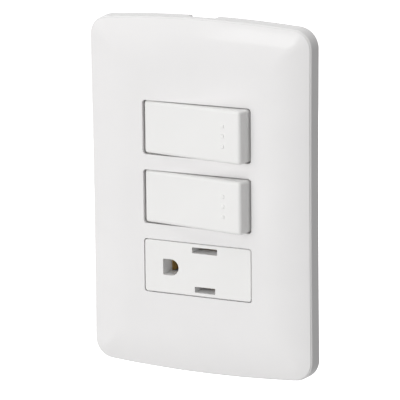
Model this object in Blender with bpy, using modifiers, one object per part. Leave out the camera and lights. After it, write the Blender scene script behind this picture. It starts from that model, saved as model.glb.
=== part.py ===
"""A switch and socket combination: two rocker switches and one socket under a pillowed cover plate.

X runs to the right, Y into the wall and Z up. The origin is on the wall, halfway between the two
fixing screws, and the three modules stack along Z, with the socket at the bottom.
"""

from math import atan, cos, hypot, pi, radians, sin, sqrt, tan

import bmesh
import bpy
from mathutils import Matrix, Vector

MM = 0.001

# Module grid and the windows that show it
MODULE_PITCH = 22.4 * MM
WINDOW_WIDTH = 37.4 * MM
WINDOW_HEIGHT = 17.1 * MM
WINDOW_CORNER = 1.0 * MM
WINDOW_CLEARANCE = 0.2 * MM
SEAT_GAP = 0.3 * MM

# Cover plate
PLATE_WIDTH = 76.8 * MM
PLATE_HEIGHT = 114.2 * MM
PLATE_LIFT = 0.5 * MM
PLATE_END_BOW = 1.75 * MM
PLATE_SIDE_WAIST = 0.3 * MM
PLATE_CORNER = 6.5 * MM
PLATE_DEPTH = 7.6 * MM
PLATE_RIM_DEPTH = 5.3 * MM
PLATE_SHOULDER = 14.0 * MM
PLATE_DRAFT = 0.2 * MM
PLATE_EDGE_ROUND = 0.7 * MM
PLATE_WALL = 1.8 * MM
NOTCH_WIDTH = 9.6 * MM
NOTCH_DEPTH = 2.8 * MM

# Support frame and its fixing screws
FRAME_SIDE_ROOM = 6.6 * MM
FRAME_END_ROOM = 4.0 * MM
FRAME_DEPTH = 3.8 * MM
FRAME_PANEL = 1.8 * MM
FRAME_SKIRT = 1.8 * MM
FRAME_COLLAR = 2.0 * MM
FRAME_CORNER = 3.0 * MM
FRAME_EAR_WIDTH = 16.0 * MM
FRAME_EAR_HEIGHT = 9.0 * MM
FRAME_EAR_THICKNESS = 1.6 * MM
FRAME_CUT_CLEARANCE = 0.25 * MM
FIXING_SPACING = 83.3 * MM
FIXING_SLOT_LENGTH = 6.5 * MM
FIXING_SHANK_RADIUS = 1.7 * MM
FIXING_HEAD_RADIUS = 3.4 * MM
FIXING_HEAD_HEIGHT = 2.0 * MM
FIXING_LENGTH = 19.0 * MM
HOOK_HEIGHT_FROM_CENTRE = 30.0 * MM
HOOK_WIDTH = 6.0 * MM
HOOK_THICKNESS = 1.4 * MM
HOOK_BARB = 0.8 * MM
HOOK_REACH = 1.4 * MM

# Shell that both kinds of module share
SHELL_WALL = 1.0 * MM
SHELL_CORNER = 1.5 * MM
FLANGE_LIP = 1.0 * MM
POCKET_DEPTH = 2.3 * MM
PARTITION = 1.4 * MM
BARB_REACH = 1.0 * MM
BARB_LENGTH = 2.0 * MM
BARB_WIDTH = 5.0 * MM
LUG_WIDTH = 5.4 * MM
LUG_LENGTH = 0.8 * MM
LUG_HEIGHT = 0.6 * MM

# Rocker key, in its own frame with the pivot axis at the origin
ROCKER_TILT = radians(8.0)
ROCKER_END_ROOM = 0.85 * MM
ROCKER_PROUD = 4.6 * MM
ROCKER_SKIRT = 8.6 * MM
ROCKER_WALL = 1.2 * MM
ROCKER_FACE = 1.6 * MM
ROCKER_ROUND = 1.0 * MM
ROCKER_CORNER = 1.0 * MM
PIVOT_DEPTH = 4.4 * MM
PIVOT_RADIUS = 1.1 * MM
PIVOT_CLEARANCE = 0.15 * MM
EAR_THICKNESS = 1.4 * MM
EAR_RADIUS = 2.2 * MM
EAR_FOOT = 6.0 * MM
DOT_SIZE = 1.2 * MM
DOT_RISE = 0.25 * MM
DOT_PITCH = 3.2 * MM
DOT_FROM_END = 6.4 * MM
STEM_RADIUS = 2.6 * MM
STEM_BORE = 1.7 * MM
STEM_REACH = 9.0 * MM

# Plunger, spring and rocking contact
PLUNGER_REACH = 11.9 * MM
PLUNGER_LENGTH = 7.4 * MM
PLUNGER_CLEARANCE = 0.2 * MM
SPRING_WIRE = 0.36 * MM
SPRING_TURNS = 5
DEAD_CENTRE_GAP = 0.06 * MM
CONTACT_END_ROOM = 1.1 * MM
CONTACT_WIDTH = 6.4 * MM
STRIP_THICKNESS = 0.8 * MM
RIVET_RADIUS = 1.3 * MM
RIVET_RISE = 0.5 * MM
RIVET_FROM_END = 1.5 * MM
CLOSED_GAP = 0.15 * MM

# Base behind the shell
BASE_DEPTH = 19.5 * MM
BASE_WALL = 1.6 * MM
STRIP_DEPTH = 12.8 * MM
STRIP_WIDTH = 5.0 * MM
SLOT_CLEARANCE = 0.3 * MM
CHAMBER_HEIGHT = 9.2 * MM
STOP_LENGTH = 1.6 * MM
TERMINAL_FROM_SIDE = 4.4 * MM
CHAMBER_FROM_TERMINAL = 4.7 * MM
TERMINAL_CHAMBER = 6.6 * MM
TERMINAL_CHAMBER_HEIGHT = 13.6 * MM
TERMINAL_SHANK_RADIUS = 1.45 * MM
TERMINAL_HEAD_RADIUS = 2.7 * MM
TERMINAL_HEAD_HEIGHT = 1.8 * MM
TERMINAL_SCREW_REACH = 5.0 * MM
SCREW_HOLE_CLEARANCE = 0.3 * MM
DRIVER_CLEARANCE = 0.4 * MM
CLAMP_SIZE = 5.6 * MM
WIRE_HOLE_RADIUS = 1.5 * MM
WIRE_HOLE_OFFSET = 5.1 * MM

# Socket face and its contacts
SOCKET_FACE = 2.0 * MM
SOCKET_ROUND = 0.4 * MM
SLOT_SPACING = 12.7 * MM
SLOT_HEIGHT = 1.9 * MM
LONG_SLOT = 8.7 * MM
SHORT_SLOT = 7.1 * MM
EARTH_OFFSET = 11.9 * MM
EARTH_FROM_SIDE = 9.3 * MM
EARTH_WIDTH = 5.4 * MM
EARTH_HEIGHT = 5.2 * MM
GUIDE_DEPTH = 6.3 * MM
GUIDE_WALL = 0.9 * MM
CLIP_THICKNESS = 0.6 * MM
CLIP_LENGTH = 7.0 * MM
CLIP_FLARE_LENGTH = 2.2 * MM
CLIP_FLARE = 0.5 * MM
BLADE_CLIP_HALF = 0.5 * MM
PIN_CLIP_HALF = 2.05 * MM
PIN_RADIUS = 2.4 * MM
PIN_WELL = 3.0 * MM
LIVE_TERMINAL_RISE = 5.1 * MM
EARTH_TERMINAL_FROM_SIDE = 3.3 * MM

# Places worked out from the sizes above
FACE_Y = -PLATE_DEPTH
PLATE_INNER_Y = FACE_Y + PLATE_WALL
FLANGE_FRONT = PLATE_INNER_Y + SEAT_GAP
FLANGE_BACK = -FRAME_DEPTH - SEAT_GAP
FRAME_WIDTH = PLATE_WIDTH - 2 * (PLATE_WALL + FRAME_SIDE_ROOM)
FRAME_HEIGHT = PLATE_HEIGHT - 2 * (PLATE_WALL + FRAME_END_ROOM)
SHELL_WIDTH = WINDOW_WIDTH + 2 * SHELL_WALL
SHELL_HEIGHT = WINDOW_HEIGHT + 2 * SHELL_WALL
KEY_HEIGHT = WINDOW_HEIGHT - 2 * WINDOW_CLEARANCE
TERMINAL_ARM = WINDOW_WIDTH / 2 - TERMINAL_FROM_SIDE
EARTH_TERMINAL_ARM = WINDOW_WIDTH / 2 - EARTH_TERMINAL_FROM_SIDE
CHAMBER_HALF = TERMINAL_ARM - CHAMBER_FROM_TERMINAL
CONTACT_ARM = CHAMBER_HALF - CONTACT_END_ROOM
RIVET_ARM = CONTACT_ARM - RIVET_FROM_END
ROCKER_LENGTH = WINDOW_WIDTH - 2 * ROCKER_END_ROOM
ROCKER_HALF = ROCKER_LENGTH / 2
ROCKER_SWEEP = hypot(ROCKER_HALF, PIVOT_DEPTH)
PIVOT_Y = FACE_Y - ROCKER_PROUD + PIVOT_DEPTH * cos(ROCKER_TILT) + ROCKER_HALF * sin(ROCKER_TILT)
SKIRT_BACK = ROCKER_SKIRT - PIVOT_DEPTH
FLOOR_Y = PIVOT_Y + SKIRT_BACK * cos(ROCKER_TILT) + ROCKER_HALF * sin(ROCKER_TILT) + SEAT_GAP
POCKET_Y = FLOOR_Y + PARTITION
SHELL_BACK = POCKET_Y + POCKET_DEPTH
FULCRUM_Y = PIVOT_Y + PLUNGER_REACH + DEAD_CENTRE_GAP + STRIP_THICKNESS
CLOSED_Y = FULCRUM_Y + RIVET_ARM * sin(ROCKER_TILT) + RIVET_RISE * cos(ROCKER_TILT) + CLOSED_GAP
SHELF_Y = CLOSED_Y + RIVET_RISE + STRIP_THICKNESS / 2
STRIP_BACK = STRIP_DEPTH + STRIP_THICKNESS / 2
CHAMBER_FLOOR = STRIP_BACK + SEAT_GAP
CLAMP_FRONT = STRIP_BACK + SEAT_GAP
HEAD_FRONT = CLAMP_FRONT + STRIP_THICKNESS + SEAT_GAP
HOLE_RADIUS = TERMINAL_SHANK_RADIUS + SCREW_HOLE_CLEARANCE
GUIDE_BACK = FACE_Y + GUIDE_DEPTH
CLIP_MOUTH_Y = GUIDE_BACK + SEAT_GAP
EARTH_X = EARTH_FROM_SIDE - WINDOW_WIDTH / 2
SLOT_CENTRE = EARTH_X + EARTH_OFFSET
BLADE_CHAMBER_LEFT = SLOT_CENTRE - CLIP_LENGTH / 2 - SLOT_CLEARANCE
SOCKET_LUG_X = BLADE_CHAMBER_LEFT - SHELL_WALL - LUG_WIDTH / 2

# How far cutters overrun, how deep joined shapes sink in, and when two points count as one
OVERRUN = 1.0 * MM
JOIN = 0.3 * MM
WELD = 0.0001 * MM

# Fineness of round shapes, and the angle from which an edge is drawn sharp
ROUND_STEPS = 24
SMALL_ROUND_STEPS = 12
HALF_ROUND_STEPS = 8
CORNER_STEPS = 4
HIDDEN_CORNER_STEPS = 2
SHOULDER_STEPS = 5
INNER_SHOULDER_STEPS = 3
EDGE_STEPS = 3
SWEEP_STEPS = 4
SHARP_ANGLE = radians(35)

# Shares of a screw: the straight part of its head, its point and its cross recess
HEAD_RIM_SHARE = 0.35
POINT_LENGTH_SHARE = 0.6
POINT_RADIUS_SHARE = 0.4
CROSS_LENGTH_SHARE = 0.6
CROSS_WIDTH_SHARE = 0.14
CROSS_FLOOR_SHARE = 0.45


def clear_scene():
    for obj in list(bpy.data.objects):
        bpy.data.objects.remove(obj, do_unlink=True)


def new_collection(name):
    collection = bpy.data.collections.new(name)
    bpy.context.scene.collection.children.link(collection)
    return collection


def new_material(name, color, roughness, metallic=0.0):
    material = bpy.data.materials.new(name)
    material.use_nodes = True
    shader = material.node_tree.nodes["Principled BSDF"]
    shader.inputs["Base Color"].default_value = (*color, 1.0)
    shader.inputs["Roughness"].default_value = roughness
    shader.inputs["Metallic"].default_value = metallic
    return material


clear_scene()
PARTS = new_collection("switch_socket_combination")
CUTTERS = new_collection("cutters")
GLOSS_WHITE = new_material("gloss_white_plastic", (0.83, 0.82, 0.81), 0.25)
KEY_WHITE = new_material("key_white_plastic", (0.84, 0.84, 0.83), 0.3)
FRAME_GREY = new_material("frame_grey_plastic", (0.55, 0.56, 0.57), 0.5)
BASE_WHITE = new_material("base_white_plastic", (0.74, 0.74, 0.72), 0.45)
BRASS = new_material("brass", (0.72, 0.55, 0.25), 0.3, 1.0)
STEEL = new_material("zinc_plated_steel", (0.62, 0.63, 0.64), 0.35, 1.0)
NYLON = new_material("natural_nylon", (0.78, 0.76, 0.68), 0.5)


def new_empty(name, home, place, turn=0.0):
    """An empty that carries pieces, with its Z axis upright."""
    empty = bpy.data.objects.new(name, None)
    empty.location = place
    empty.rotation_euler.z = turn
    empty.parent = home
    empty.empty_display_size = 5 * MM
    PARTS.objects.link(empty)
    return empty


def add_piece(name, mesh, home, material):
    mesh.materials.clear()
    mesh.materials.append(material)
    mesh.shade_smooth()
    mesh.set_sharp_from_angle(angle=SHARP_ANGLE)
    piece = bpy.data.objects.new(name, mesh)
    piece.parent = home
    PARTS.objects.link(piece)
    return piece


def add_tool(mesh, home):
    """A helper shape that a Boolean uses and that isn't part of the object."""
    tool = bpy.data.objects.new("tool", mesh)
    tool.parent = home
    tool.hide_render = True
    tool.display_type = "WIRE"
    CUTTERS.objects.link(tool)
    return tool


def combine(piece, mesh, operation):
    modifier = piece.modifiers.new(operation.lower(), "BOOLEAN")
    modifier.operation = operation
    modifier.solver = "EXACT"
    modifier.object = add_tool(mesh, piece.parent)


def cut(piece, *meshes):
    for mesh in meshes:
        combine(piece, mesh, "DIFFERENCE")


def join(piece, *meshes):
    for mesh in meshes:
        combine(piece, mesh, "UNION")


def mesh_of(bm):
    bmesh.ops.recalc_face_normals(bm, faces=bm.faces)
    mesh = bpy.data.meshes.new("shape")
    bm.to_mesh(mesh)
    bm.free()
    return mesh


def block(low, high):
    low, high = Vector(low), Vector(high)
    bm = bmesh.new()
    stretch = Matrix.Diagonal((*(high - low), 1.0))
    bmesh.ops.create_cube(bm, size=1.0, matrix=Matrix.Translation((low + high) / 2) @ stretch)
    return mesh_of(bm)


AXIS_TURNS = {
    "X": Matrix(((0, 0, 1, 0), (1, 0, 0, 0), (0, 1, 0, 0), (0, 0, 0, 1))),
    "Y": Matrix(((1, 0, 0, 0), (0, 0, -1, 0), (0, 1, 0, 0), (0, 0, 0, 1))),
    "Z": Matrix.Identity(4),
}


def along(axis, start, end):
    """Turns a shape that stands on local Z about its middle, so that it runs from start to end."""
    middle = Vector((0, 0, 0))
    middle["XYZ".index(axis)] = (start + end) / 2
    return Matrix.Translation(middle) @ AXIS_TURNS[axis]


def rod(radius, start, end, axis="Y", place=(0, 0, 0), sides=ROUND_STEPS):
    bm = bmesh.new()
    bmesh.ops.create_cone(
        bm,
        cap_ends=True,
        segments=sides,
        radius1=radius,
        radius2=radius,
        depth=abs(end - start),
        matrix=Matrix.Translation(place) @ along(axis, start, end),
    )
    return mesh_of(bm)


def solid_curve(points, thickness):
    """A flat outline, filled and thickened about its own plane, as a welded mesh."""
    curve = bpy.data.curves.new("outline", "CURVE")
    curve.dimensions = "2D"
    curve.fill_mode = "BOTH"
    curve.extrude = thickness / 2
    spline = curve.splines.new("POLY")
    spline.points.add(len(points) - 1)
    for point, (u, v) in zip(spline.points, points):
        point.co = (u, v, 0, 1)
    spline.use_cyclic_u = True
    guide = bpy.data.objects.new("outline", curve)
    CUTTERS.objects.link(guide)
    graph = bpy.context.evaluated_depsgraph_get()
    mesh = bpy.data.meshes.new_from_object(guide.evaluated_get(graph))
    bpy.data.objects.remove(guide, do_unlink=True)
    return mesh


def prism(points, start, end, axis="Y"):
    """A solid from start to end, with an outline of (x, z) along Y, (x, y) along Z or (y, z) along X."""
    mesh = solid_curve(points, abs(end - start))
    bm = bmesh.new()
    bm.from_mesh(mesh)
    bpy.data.meshes.remove(mesh)
    bmesh.ops.remove_doubles(bm, verts=bm.verts, dist=WELD)
    bm.transform(along(axis, start, end))
    return mesh_of(bm)


def arc(centre, radius, first, last, steps):
    """Points from angle first to angle last, both included."""
    turns = [first + (last - first) * i / steps for i in range(steps + 1)]
    return [(centre[0] + radius * cos(t), centre[1] + radius * sin(t)) for t in turns]


def rounded_rectangle(width, height, corner, centre=(0, 0), steps=CORNER_STEPS):
    u, v = width / 2 - corner, height / 2 - corner
    points = []
    for quarter, (side, level) in enumerate(((1, 1), (-1, 1), (-1, -1), (1, -1))):
        middle = (centre[0] + side * u, centre[1] + level * v)
        points += arc(middle, corner, quarter * pi / 2, (quarter + 1) * pi / 2, steps)
    return points


def rounded_block(width, height, corner, start, end, centre=(0, 0), steps=HIDDEN_CORNER_STEPS):
    return prism(rounded_rectangle(width, height, corner, centre, steps), start, end)


def loft(rings):
    """A closed solid through rings of (x, y, z) points that match one to one, flat at both ends."""
    bm = bmesh.new()
    loops = [[bm.verts.new(point) for point in ring] for ring in rings]
    for near, far in zip(loops, loops[1:]):
        for i, vertex in enumerate(near):
            j = (i + 1) % len(near)
            bm.faces.new((vertex, near[j], far[j], far[i]))
    bm.faces.new(loops[0])
    bm.faces.new(loops[-1])
    return mesh_of(bm)


def bent_strip(points, start, end, thickness, axis="Z"):
    """Sheet metal bent along the points, the middle of its thickness, and as wide as start to end."""
    bm = bmesh.new()
    rows = []
    for level in (start, end):
        rows.append([bm.verts.new((u, v, level)) for u, v in points])
    for i in range(len(points) - 1):
        bm.faces.new((rows[0][i], rows[0][i + 1], rows[1][i + 1], rows[1][i]))
    bm.transform(AXIS_TURNS[axis])
    sheet = add_tool(mesh_of(bm), None)
    solid = sheet.modifiers.new("thickness", "SOLIDIFY")
    solid.thickness = thickness
    solid.offset = 0.0
    solid.use_even_offset = True
    graph = bpy.context.evaluated_depsgraph_get()
    mesh = bpy.data.meshes.new_from_object(sheet.evaluated_get(graph))
    bpy.data.objects.remove(sheet, do_unlink=True)
    return mesh


def turned(profile, steps=ROUND_STEPS):
    """A profile of (radius, y) turned about the Y axis, run from its front end to its back end."""
    bm = bmesh.new()
    spots = [bm.verts.new((radius, 0, -y)) for radius, y in profile]
    for near, far in zip(spots, spots[1:]):
        bm.edges.new((near, far))
    mesh = bpy.data.meshes.new("profile")
    bm.to_mesh(mesh)
    bm.free()
    guide = add_tool(mesh, None)
    screw = guide.modifiers.new("turn", "SCREW")
    screw.steps = steps
    screw.render_steps = steps
    screw.use_merge_vertices = True
    screw.merge_threshold = WELD
    graph = bpy.context.evaluated_depsgraph_get()
    mesh = bpy.data.meshes.new_from_object(guide.evaluated_get(graph))
    bpy.data.objects.remove(guide, do_unlink=True)
    bm = bmesh.new()
    bm.from_mesh(mesh)
    bmesh.ops.remove_doubles(bm, verts=bm.verts, dist=WELD)
    bm.transform(Matrix.Rotation(pi / 2, 4, "X"))
    bpy.data.meshes.remove(mesh)
    return mesh_of(bm)


def moved(mesh, x=0.0, y=0.0, z=0.0):
    mesh.transform(Matrix.Translation((x, y, z)))
    return mesh


# Cover plate


def plate_outline(inset):
    """The plate's outline moved in by inset: waisted sides, bowed ends and round corners."""
    half_width = PLATE_WIDTH / 2 - inset
    half_height = PLATE_HEIGHT / 2 - inset
    bow_rate = PLATE_END_BOW / (PLATE_WIDTH / 2) ** 2
    centre_x = half_width - PLATE_CORNER
    corner_turn = pi / 2
    for _ in range(4):
        end_x = centre_x + PLATE_CORNER * cos(corner_turn)
        corner_turn = pi / 2 - atan(2 * bow_rate * end_x)
    centre_z = half_height - bow_rate * end_x**2 - PLATE_CORNER * sin(corner_turn)
    side_steps, corner_steps, end_steps = 4, 5, 6
    quarter = []
    for i in range(side_steps):
        share = i / side_steps
        quarter.append((half_width - PLATE_SIDE_WAIST * (1 - share**2), centre_z * share))
    quarter += arc((centre_x, centre_z), PLATE_CORNER, 0, corner_turn, corner_steps)
    for i in range(1, end_steps):
        x = end_x * (1 - i / end_steps)
        quarter.append((x, half_height - bow_rate * x**2))
    top = quarter + [(0, half_height)] + [(-x, z) for x, z in reversed(quarter[1:])]
    return top + [(-x, -z) for x, z in top]


def plate_ring(inset, y):
    return [(x, y, z + PLATE_LIFT) for x, z in plate_outline(inset)]


def shoulder_y(run):
    """Depth of the pillowed front at a distance in from its outer edge."""
    fall = PLATE_DEPTH - PLATE_RIM_DEPTH
    return FACE_Y + fall * (1 - run / PLATE_SHOULDER) ** 2


def plate_profile():
    """(inset, y) from the flat front out over the shoulder, round the rim and back up inside."""
    outer_runs = [PLATE_SHOULDER * (1 - i / SHOULDER_STEPS) for i in range(SHOULDER_STEPS)]
    outer = [(PLATE_DRAFT + run, shoulder_y(run)) for run in outer_runs]
    slope = atan(2 * (PLATE_DEPTH - PLATE_RIM_DEPTH) / PLATE_SHOULDER)
    middle = (PLATE_DRAFT + PLATE_EDGE_ROUND, shoulder_y(0) + PLATE_EDGE_ROUND)
    edge = []
    for i in range(EDGE_STEPS + 1):
        turn = slope + (pi / 2 - slope) * i / EDGE_STEPS
        edge.append((middle[0] - PLATE_EDGE_ROUND * sin(turn), middle[1] - PLATE_EDGE_ROUND * cos(turn)))
    inner_runs = [PLATE_SHOULDER * i / INNER_SHOULDER_STEPS for i in range(INNER_SHOULDER_STEPS + 1)]
    inner = [(PLATE_WALL + PLATE_DRAFT + run, shoulder_y(run) + PLATE_WALL) for run in inner_runs]
    return outer + edge + [(0, 0), (PLATE_WALL, 0)] + inner


def hook_places():
    return [(side, level) for side in (-1, 1) for level in (-1, 1)]


def hook_arm():
    """Distance of the hooks' inner faces from the middle, halfway across the frame's channel."""
    channel = (SHELL_WIDTH / 2 + FRAME_COLLAR + FRAME_WIDTH / 2 - FRAME_SKIRT) / 2
    return channel - HOOK_THICKNESS / 2


def hook_outline(side):
    """A tab from the plate's back through the frame's panel, with a barb behind the panel."""
    inner = hook_arm()
    outer = inner + HOOK_THICKNESS
    barb_front = -FRAME_DEPTH + FRAME_PANEL + SEAT_GAP
    tip = barb_front + HOOK_REACH
    points = [
        (inner, PLATE_INNER_Y - PLATE_WALL / 2),
        (outer, PLATE_INNER_Y - PLATE_WALL / 2),
        (outer, barb_front),
        (outer + HOOK_BARB, barb_front),
        (outer + HOOK_BARB, barb_front + HOOK_REACH / 4),
        (outer, tip),
        (inner, tip),
    ]
    return [(side * x, y) for x, y in points][:: side]


def make_cover_plate():
    shell = loft([plate_ring(*spot) for spot in plate_profile()])
    plate = add_piece("cover_plate", shell, None, GLOSS_WHITE)
    for level in (-1, 0, 1):
        place = (0, level * MODULE_PITCH)
        window = rounded_rectangle(WINDOW_WIDTH, WINDOW_HEIGHT, WINDOW_CORNER, place)
        cut(plate, prism(window, FACE_Y - OVERRUN, PLATE_INNER_Y + OVERRUN))
    top = PLATE_LIFT + PLATE_HEIGHT / 2
    half = NOTCH_WIDTH / 2
    cut(plate, block((-half, -NOTCH_DEPTH, top - 2 * PLATE_WALL), (half, OVERRUN, top + OVERRUN)))
    for side, level in hook_places():
        middle = level * HOOK_HEIGHT_FROM_CENTRE
        join(plate, prism(hook_outline(side), middle - HOOK_WIDTH / 2, middle + HOOK_WIDTH / 2, "Z"))
    return plate


# Support frame


def stadium(length, radius, centre):
    run = length / 2 - radius
    right = arc((centre[0] + run, centre[1]), radius, -pi / 2, pi / 2, HALF_ROUND_STEPS)
    left = arc((centre[0] - run, centre[1]), radius, pi / 2, 3 * pi / 2, HALF_ROUND_STEPS)
    return right + left


def make_support_frame():
    frame = add_piece(
        "support_frame",
        rounded_block(FRAME_WIDTH, FRAME_HEIGHT, FRAME_CORNER, -FRAME_DEPTH, 0),
        None,
        FRAME_GREY,
    )
    opening = (SHELL_WIDTH + 2 * FRAME_CUT_CLEARANCE, SHELL_HEIGHT + 2 * FRAME_CUT_CLEARANCE)
    front, back = -FRAME_DEPTH - OVERRUN, OVERRUN
    for level in (-1, 0, 1):
        cut(frame, rounded_block(*opening, SHELL_CORNER, front, back, (0, level * MODULE_PITCH)))
    inner, outer = SHELL_WIDTH / 2 + FRAME_COLLAR, FRAME_WIDTH / 2 - FRAME_SKIRT
    end = FRAME_HEIGHT / 2 - FRAME_SKIRT
    for side in (-1, 1):
        low, high = sorted((side * inner, side * outer))
        cut(frame, block((low, -FRAME_DEPTH + FRAME_PANEL, -end), (high, back, end)))
    for side, level in hook_places():
        near, far = hook_arm() - SEAT_GAP, hook_arm() + HOOK_THICKNESS + SEAT_GAP
        low, high = sorted((side * near, side * far))
        middle, half = level * HOOK_HEIGHT_FROM_CENTRE, HOOK_WIDTH / 2 + SEAT_GAP
        cut(frame, block((low, front, middle - half), (high, back, middle + half)))
    for level in (-1, 1):
        place = (0, level * FIXING_SPACING / 2)
        floor = -FRAME_EAR_THICKNESS
        slot = stadium(FIXING_SLOT_LENGTH, FIXING_SHANK_RADIUS + SCREW_HOLE_CLEARANCE, place)
        cut(
            frame,
            rounded_block(FRAME_EAR_WIDTH, FRAME_EAR_HEIGHT, SHELL_CORNER, front, floor, place),
            prism(slot, front, back),
        )
    return frame


def screw_mesh(head_radius, head_height, shank_radius, head_back, tip, facing):
    """A domed cross-head screw on the Y axis. facing is -1 for a head at the front, 1 at the back."""
    dome = 3
    head_end = head_back + facing * head_height
    profile = [(0.0, head_end)]
    for i in range(1, dome + 1):
        turn = pi / 2 * i / dome
        rise = head_height * (HEAD_RIM_SHARE + (1 - HEAD_RIM_SHARE) * cos(turn))
        profile.append((head_radius * sin(turn), head_back + facing * rise))
    profile += [(head_radius, head_back), (shank_radius, head_back)]
    profile.append((shank_radius, tip + facing * shank_radius * POINT_LENGTH_SHARE))
    profile += [(shank_radius * POINT_RADIUS_SHARE, tip), (0.0, tip)]
    return turned(profile if facing < 0 else profile[::-1], SMALL_ROUND_STEPS)


def cross_recess(head_radius, head_height, head_back, facing):
    long, short = head_radius * CROSS_LENGTH_SHARE, head_radius * CROSS_WIDTH_SHARE
    floor = head_back + facing * head_height * CROSS_FLOOR_SHARE
    near, far = sorted((floor, head_back + facing * (head_height + OVERRUN)))
    return [
        block((-long, near, -short), (long, far, short)),
        block((-short, near, -long), (short, far, long)),
    ]


def add_screw(name, home, size, head_back, tip, facing, x, z):
    head_radius, head_height, shank_radius = size
    mesh = screw_mesh(head_radius, head_height, shank_radius, head_back, tip, facing)
    screw = add_piece(name, moved(mesh, x, 0, z), home, STEEL)
    for recess in cross_recess(head_radius, head_height, head_back, facing):
        cut(screw, moved(recess, x, 0, z))
    return screw


def make_fixing_screws():
    size = (FIXING_HEAD_RADIUS, FIXING_HEAD_HEIGHT, FIXING_SHANK_RADIUS)
    head_back = -FRAME_EAR_THICKNESS - SEAT_GAP
    for name, level in (("fixing_screw_top", 1), ("fixing_screw_bottom", -1)):
        add_screw(name, None, size, head_back, head_back + FIXING_LENGTH, -1, 0, level * FIXING_SPACING / 2)


# Module shell: the flange, walls, barbs and rear pocket that switch and socket share


def barb_outline(side):
    edge = SHELL_WIDTH / 2
    points = [
        (edge - JOIN, SEAT_GAP),
        (edge + BARB_REACH, SEAT_GAP),
        (edge + BARB_REACH, SEAT_GAP + BARB_LENGTH / 4),
        (edge, SEAT_GAP + BARB_LENGTH),
        (edge - JOIN, SEAT_GAP + BARB_LENGTH),
    ]
    return [(side * x, y) for x, y in points][:: side]


def lug_window(side, x):
    """The hole in a shell's long wall that the base's lug snaps into."""
    near = POCKET_Y + POCKET_DEPTH / 2 - LUG_LENGTH / 2 - SLOT_CLEARANCE
    far = near + LUG_LENGTH + 2 * SLOT_CLEARANCE
    half = LUG_WIDTH / 2 + SLOT_CLEARANCE
    low, high = sorted((side * (WINDOW_HEIGHT / 2 - SHELL_WALL), side * (SHELL_HEIGHT / 2 + OVERRUN)))
    return block((x - half, near, low), (x + half, far, high))


def make_shell(name, home, material):
    """A sleeve behind the window with a flange on the frame's front, before its inside is cut."""
    lip = 2 * FLANGE_LIP
    shell = add_piece(
        name,
        rounded_block(SHELL_WIDTH, SHELL_HEIGHT, SHELL_CORNER, FLANGE_FRONT + JOIN, SHELL_BACK),
        home,
        material,
    )
    flange = rounded_block(SHELL_WIDTH + lip, SHELL_HEIGHT + lip, SHELL_CORNER, FLANGE_FRONT, FLANGE_BACK)
    join(shell, flange)
    for side in (-1, 1):
        join(shell, prism(barb_outline(side), -BARB_WIDTH / 2, BARB_WIDTH / 2, "Z"))
    return shell


def cut_rear_pocket(shell, lug_x=0.0):
    cut(shell, rounded_block(WINDOW_WIDTH, WINDOW_HEIGHT, WINDOW_CORNER, POCKET_Y, SHELL_BACK + OVERRUN))
    cut(shell, lug_window(-1, lug_x), lug_window(1, lug_x))


# Switch carrier


def ear_outline():
    """A lug from the carrier's floor to the pivot, round at its top."""
    half = EAR_FOOT / 2
    top = arc((0, PIVOT_Y), EAR_RADIUS, 0, -pi, HALF_ROUND_STEPS)
    return [(-half, FLOOR_Y + JOIN), (half, FLOOR_Y + JOIN)] + top


def make_carrier(name, home):
    carrier = make_shell(name, home, BASE_WHITE)
    cut(carrier, rounded_block(WINDOW_WIDTH, WINDOW_HEIGHT, WINDOW_CORNER, FLANGE_FRONT - OVERRUN, FLOOR_Y))
    cut_rear_pocket(carrier)
    swing = (STEM_REACH * sin(ROCKER_TILT) + STEM_RADIUS + WINDOW_CLEARANCE) * 2
    stem_slot = stadium(swing, STEM_RADIUS + WINDOW_CLEARANCE, (0, 0))
    cut(carrier, prism(stem_slot, FLOOR_Y - OVERRUN, POCKET_Y + OVERRUN))
    outer = KEY_HEIGHT / 2 - ROCKER_WALL - SEAT_GAP
    for side in (-1, 1):
        start, end = sorted((side * outer, side * (outer - EAR_THICKNESS)))
        join(carrier, prism(ear_outline(), start, end, "Z"))
    bore = rod(PIVOT_RADIUS + PIVOT_CLEARANCE, -outer - OVERRUN, outer + OVERRUN, "Z", (0, PIVOT_Y, 0))
    cut(carrier, bore)
    return carrier


# Rocker key


def cap_ring(width, height, corner, y):
    return [(x, y, z) for x, z in rounded_rectangle(width, height, corner)]


def edge_rings(width_at, height, corner, front, radius, steps):
    """Rings over a rounded front edge, from the flat face to side walls as far apart as width_at(y)."""
    rings = []
    for i in range(steps + 1):
        turn = pi / 2 * i / steps
        inset = radius * (1 - sin(turn))
        tight = max(corner - inset, corner / 3)
        y = front + radius * (1 - cos(turn))
        rings.append(cap_ring(width_at(y) - 2 * inset, height - 2 * inset, tight, y))
    return rings


def key_width(y):
    """The key's width at a depth: its ends are arcs about the pivot, so their gap stays as it tilts."""
    return 2 * sqrt(ROCKER_SWEEP**2 - y**2)


def key_mesh(front):
    """The key's cap, with a rounded front edge and hollow from behind."""
    inner = (ROCKER_LENGTH - 2 * ROCKER_WALL, KEY_HEIGHT - 2 * ROCKER_WALL, ROCKER_CORNER)
    rings = edge_rings(key_width, KEY_HEIGHT, ROCKER_CORNER, front, ROCKER_ROUND, EDGE_STEPS)
    for i in range(1, SWEEP_STEPS + 1):
        start = front + ROCKER_ROUND
        y = start + (SKIRT_BACK - start) * i / SWEEP_STEPS
        rings.append(cap_ring(key_width(y), KEY_HEIGHT, ROCKER_CORNER, y))
    rings.append(cap_ring(*inner, SKIRT_BACK))
    rings.append(cap_ring(*inner, front + ROCKER_FACE))
    return loft(rings)


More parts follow.
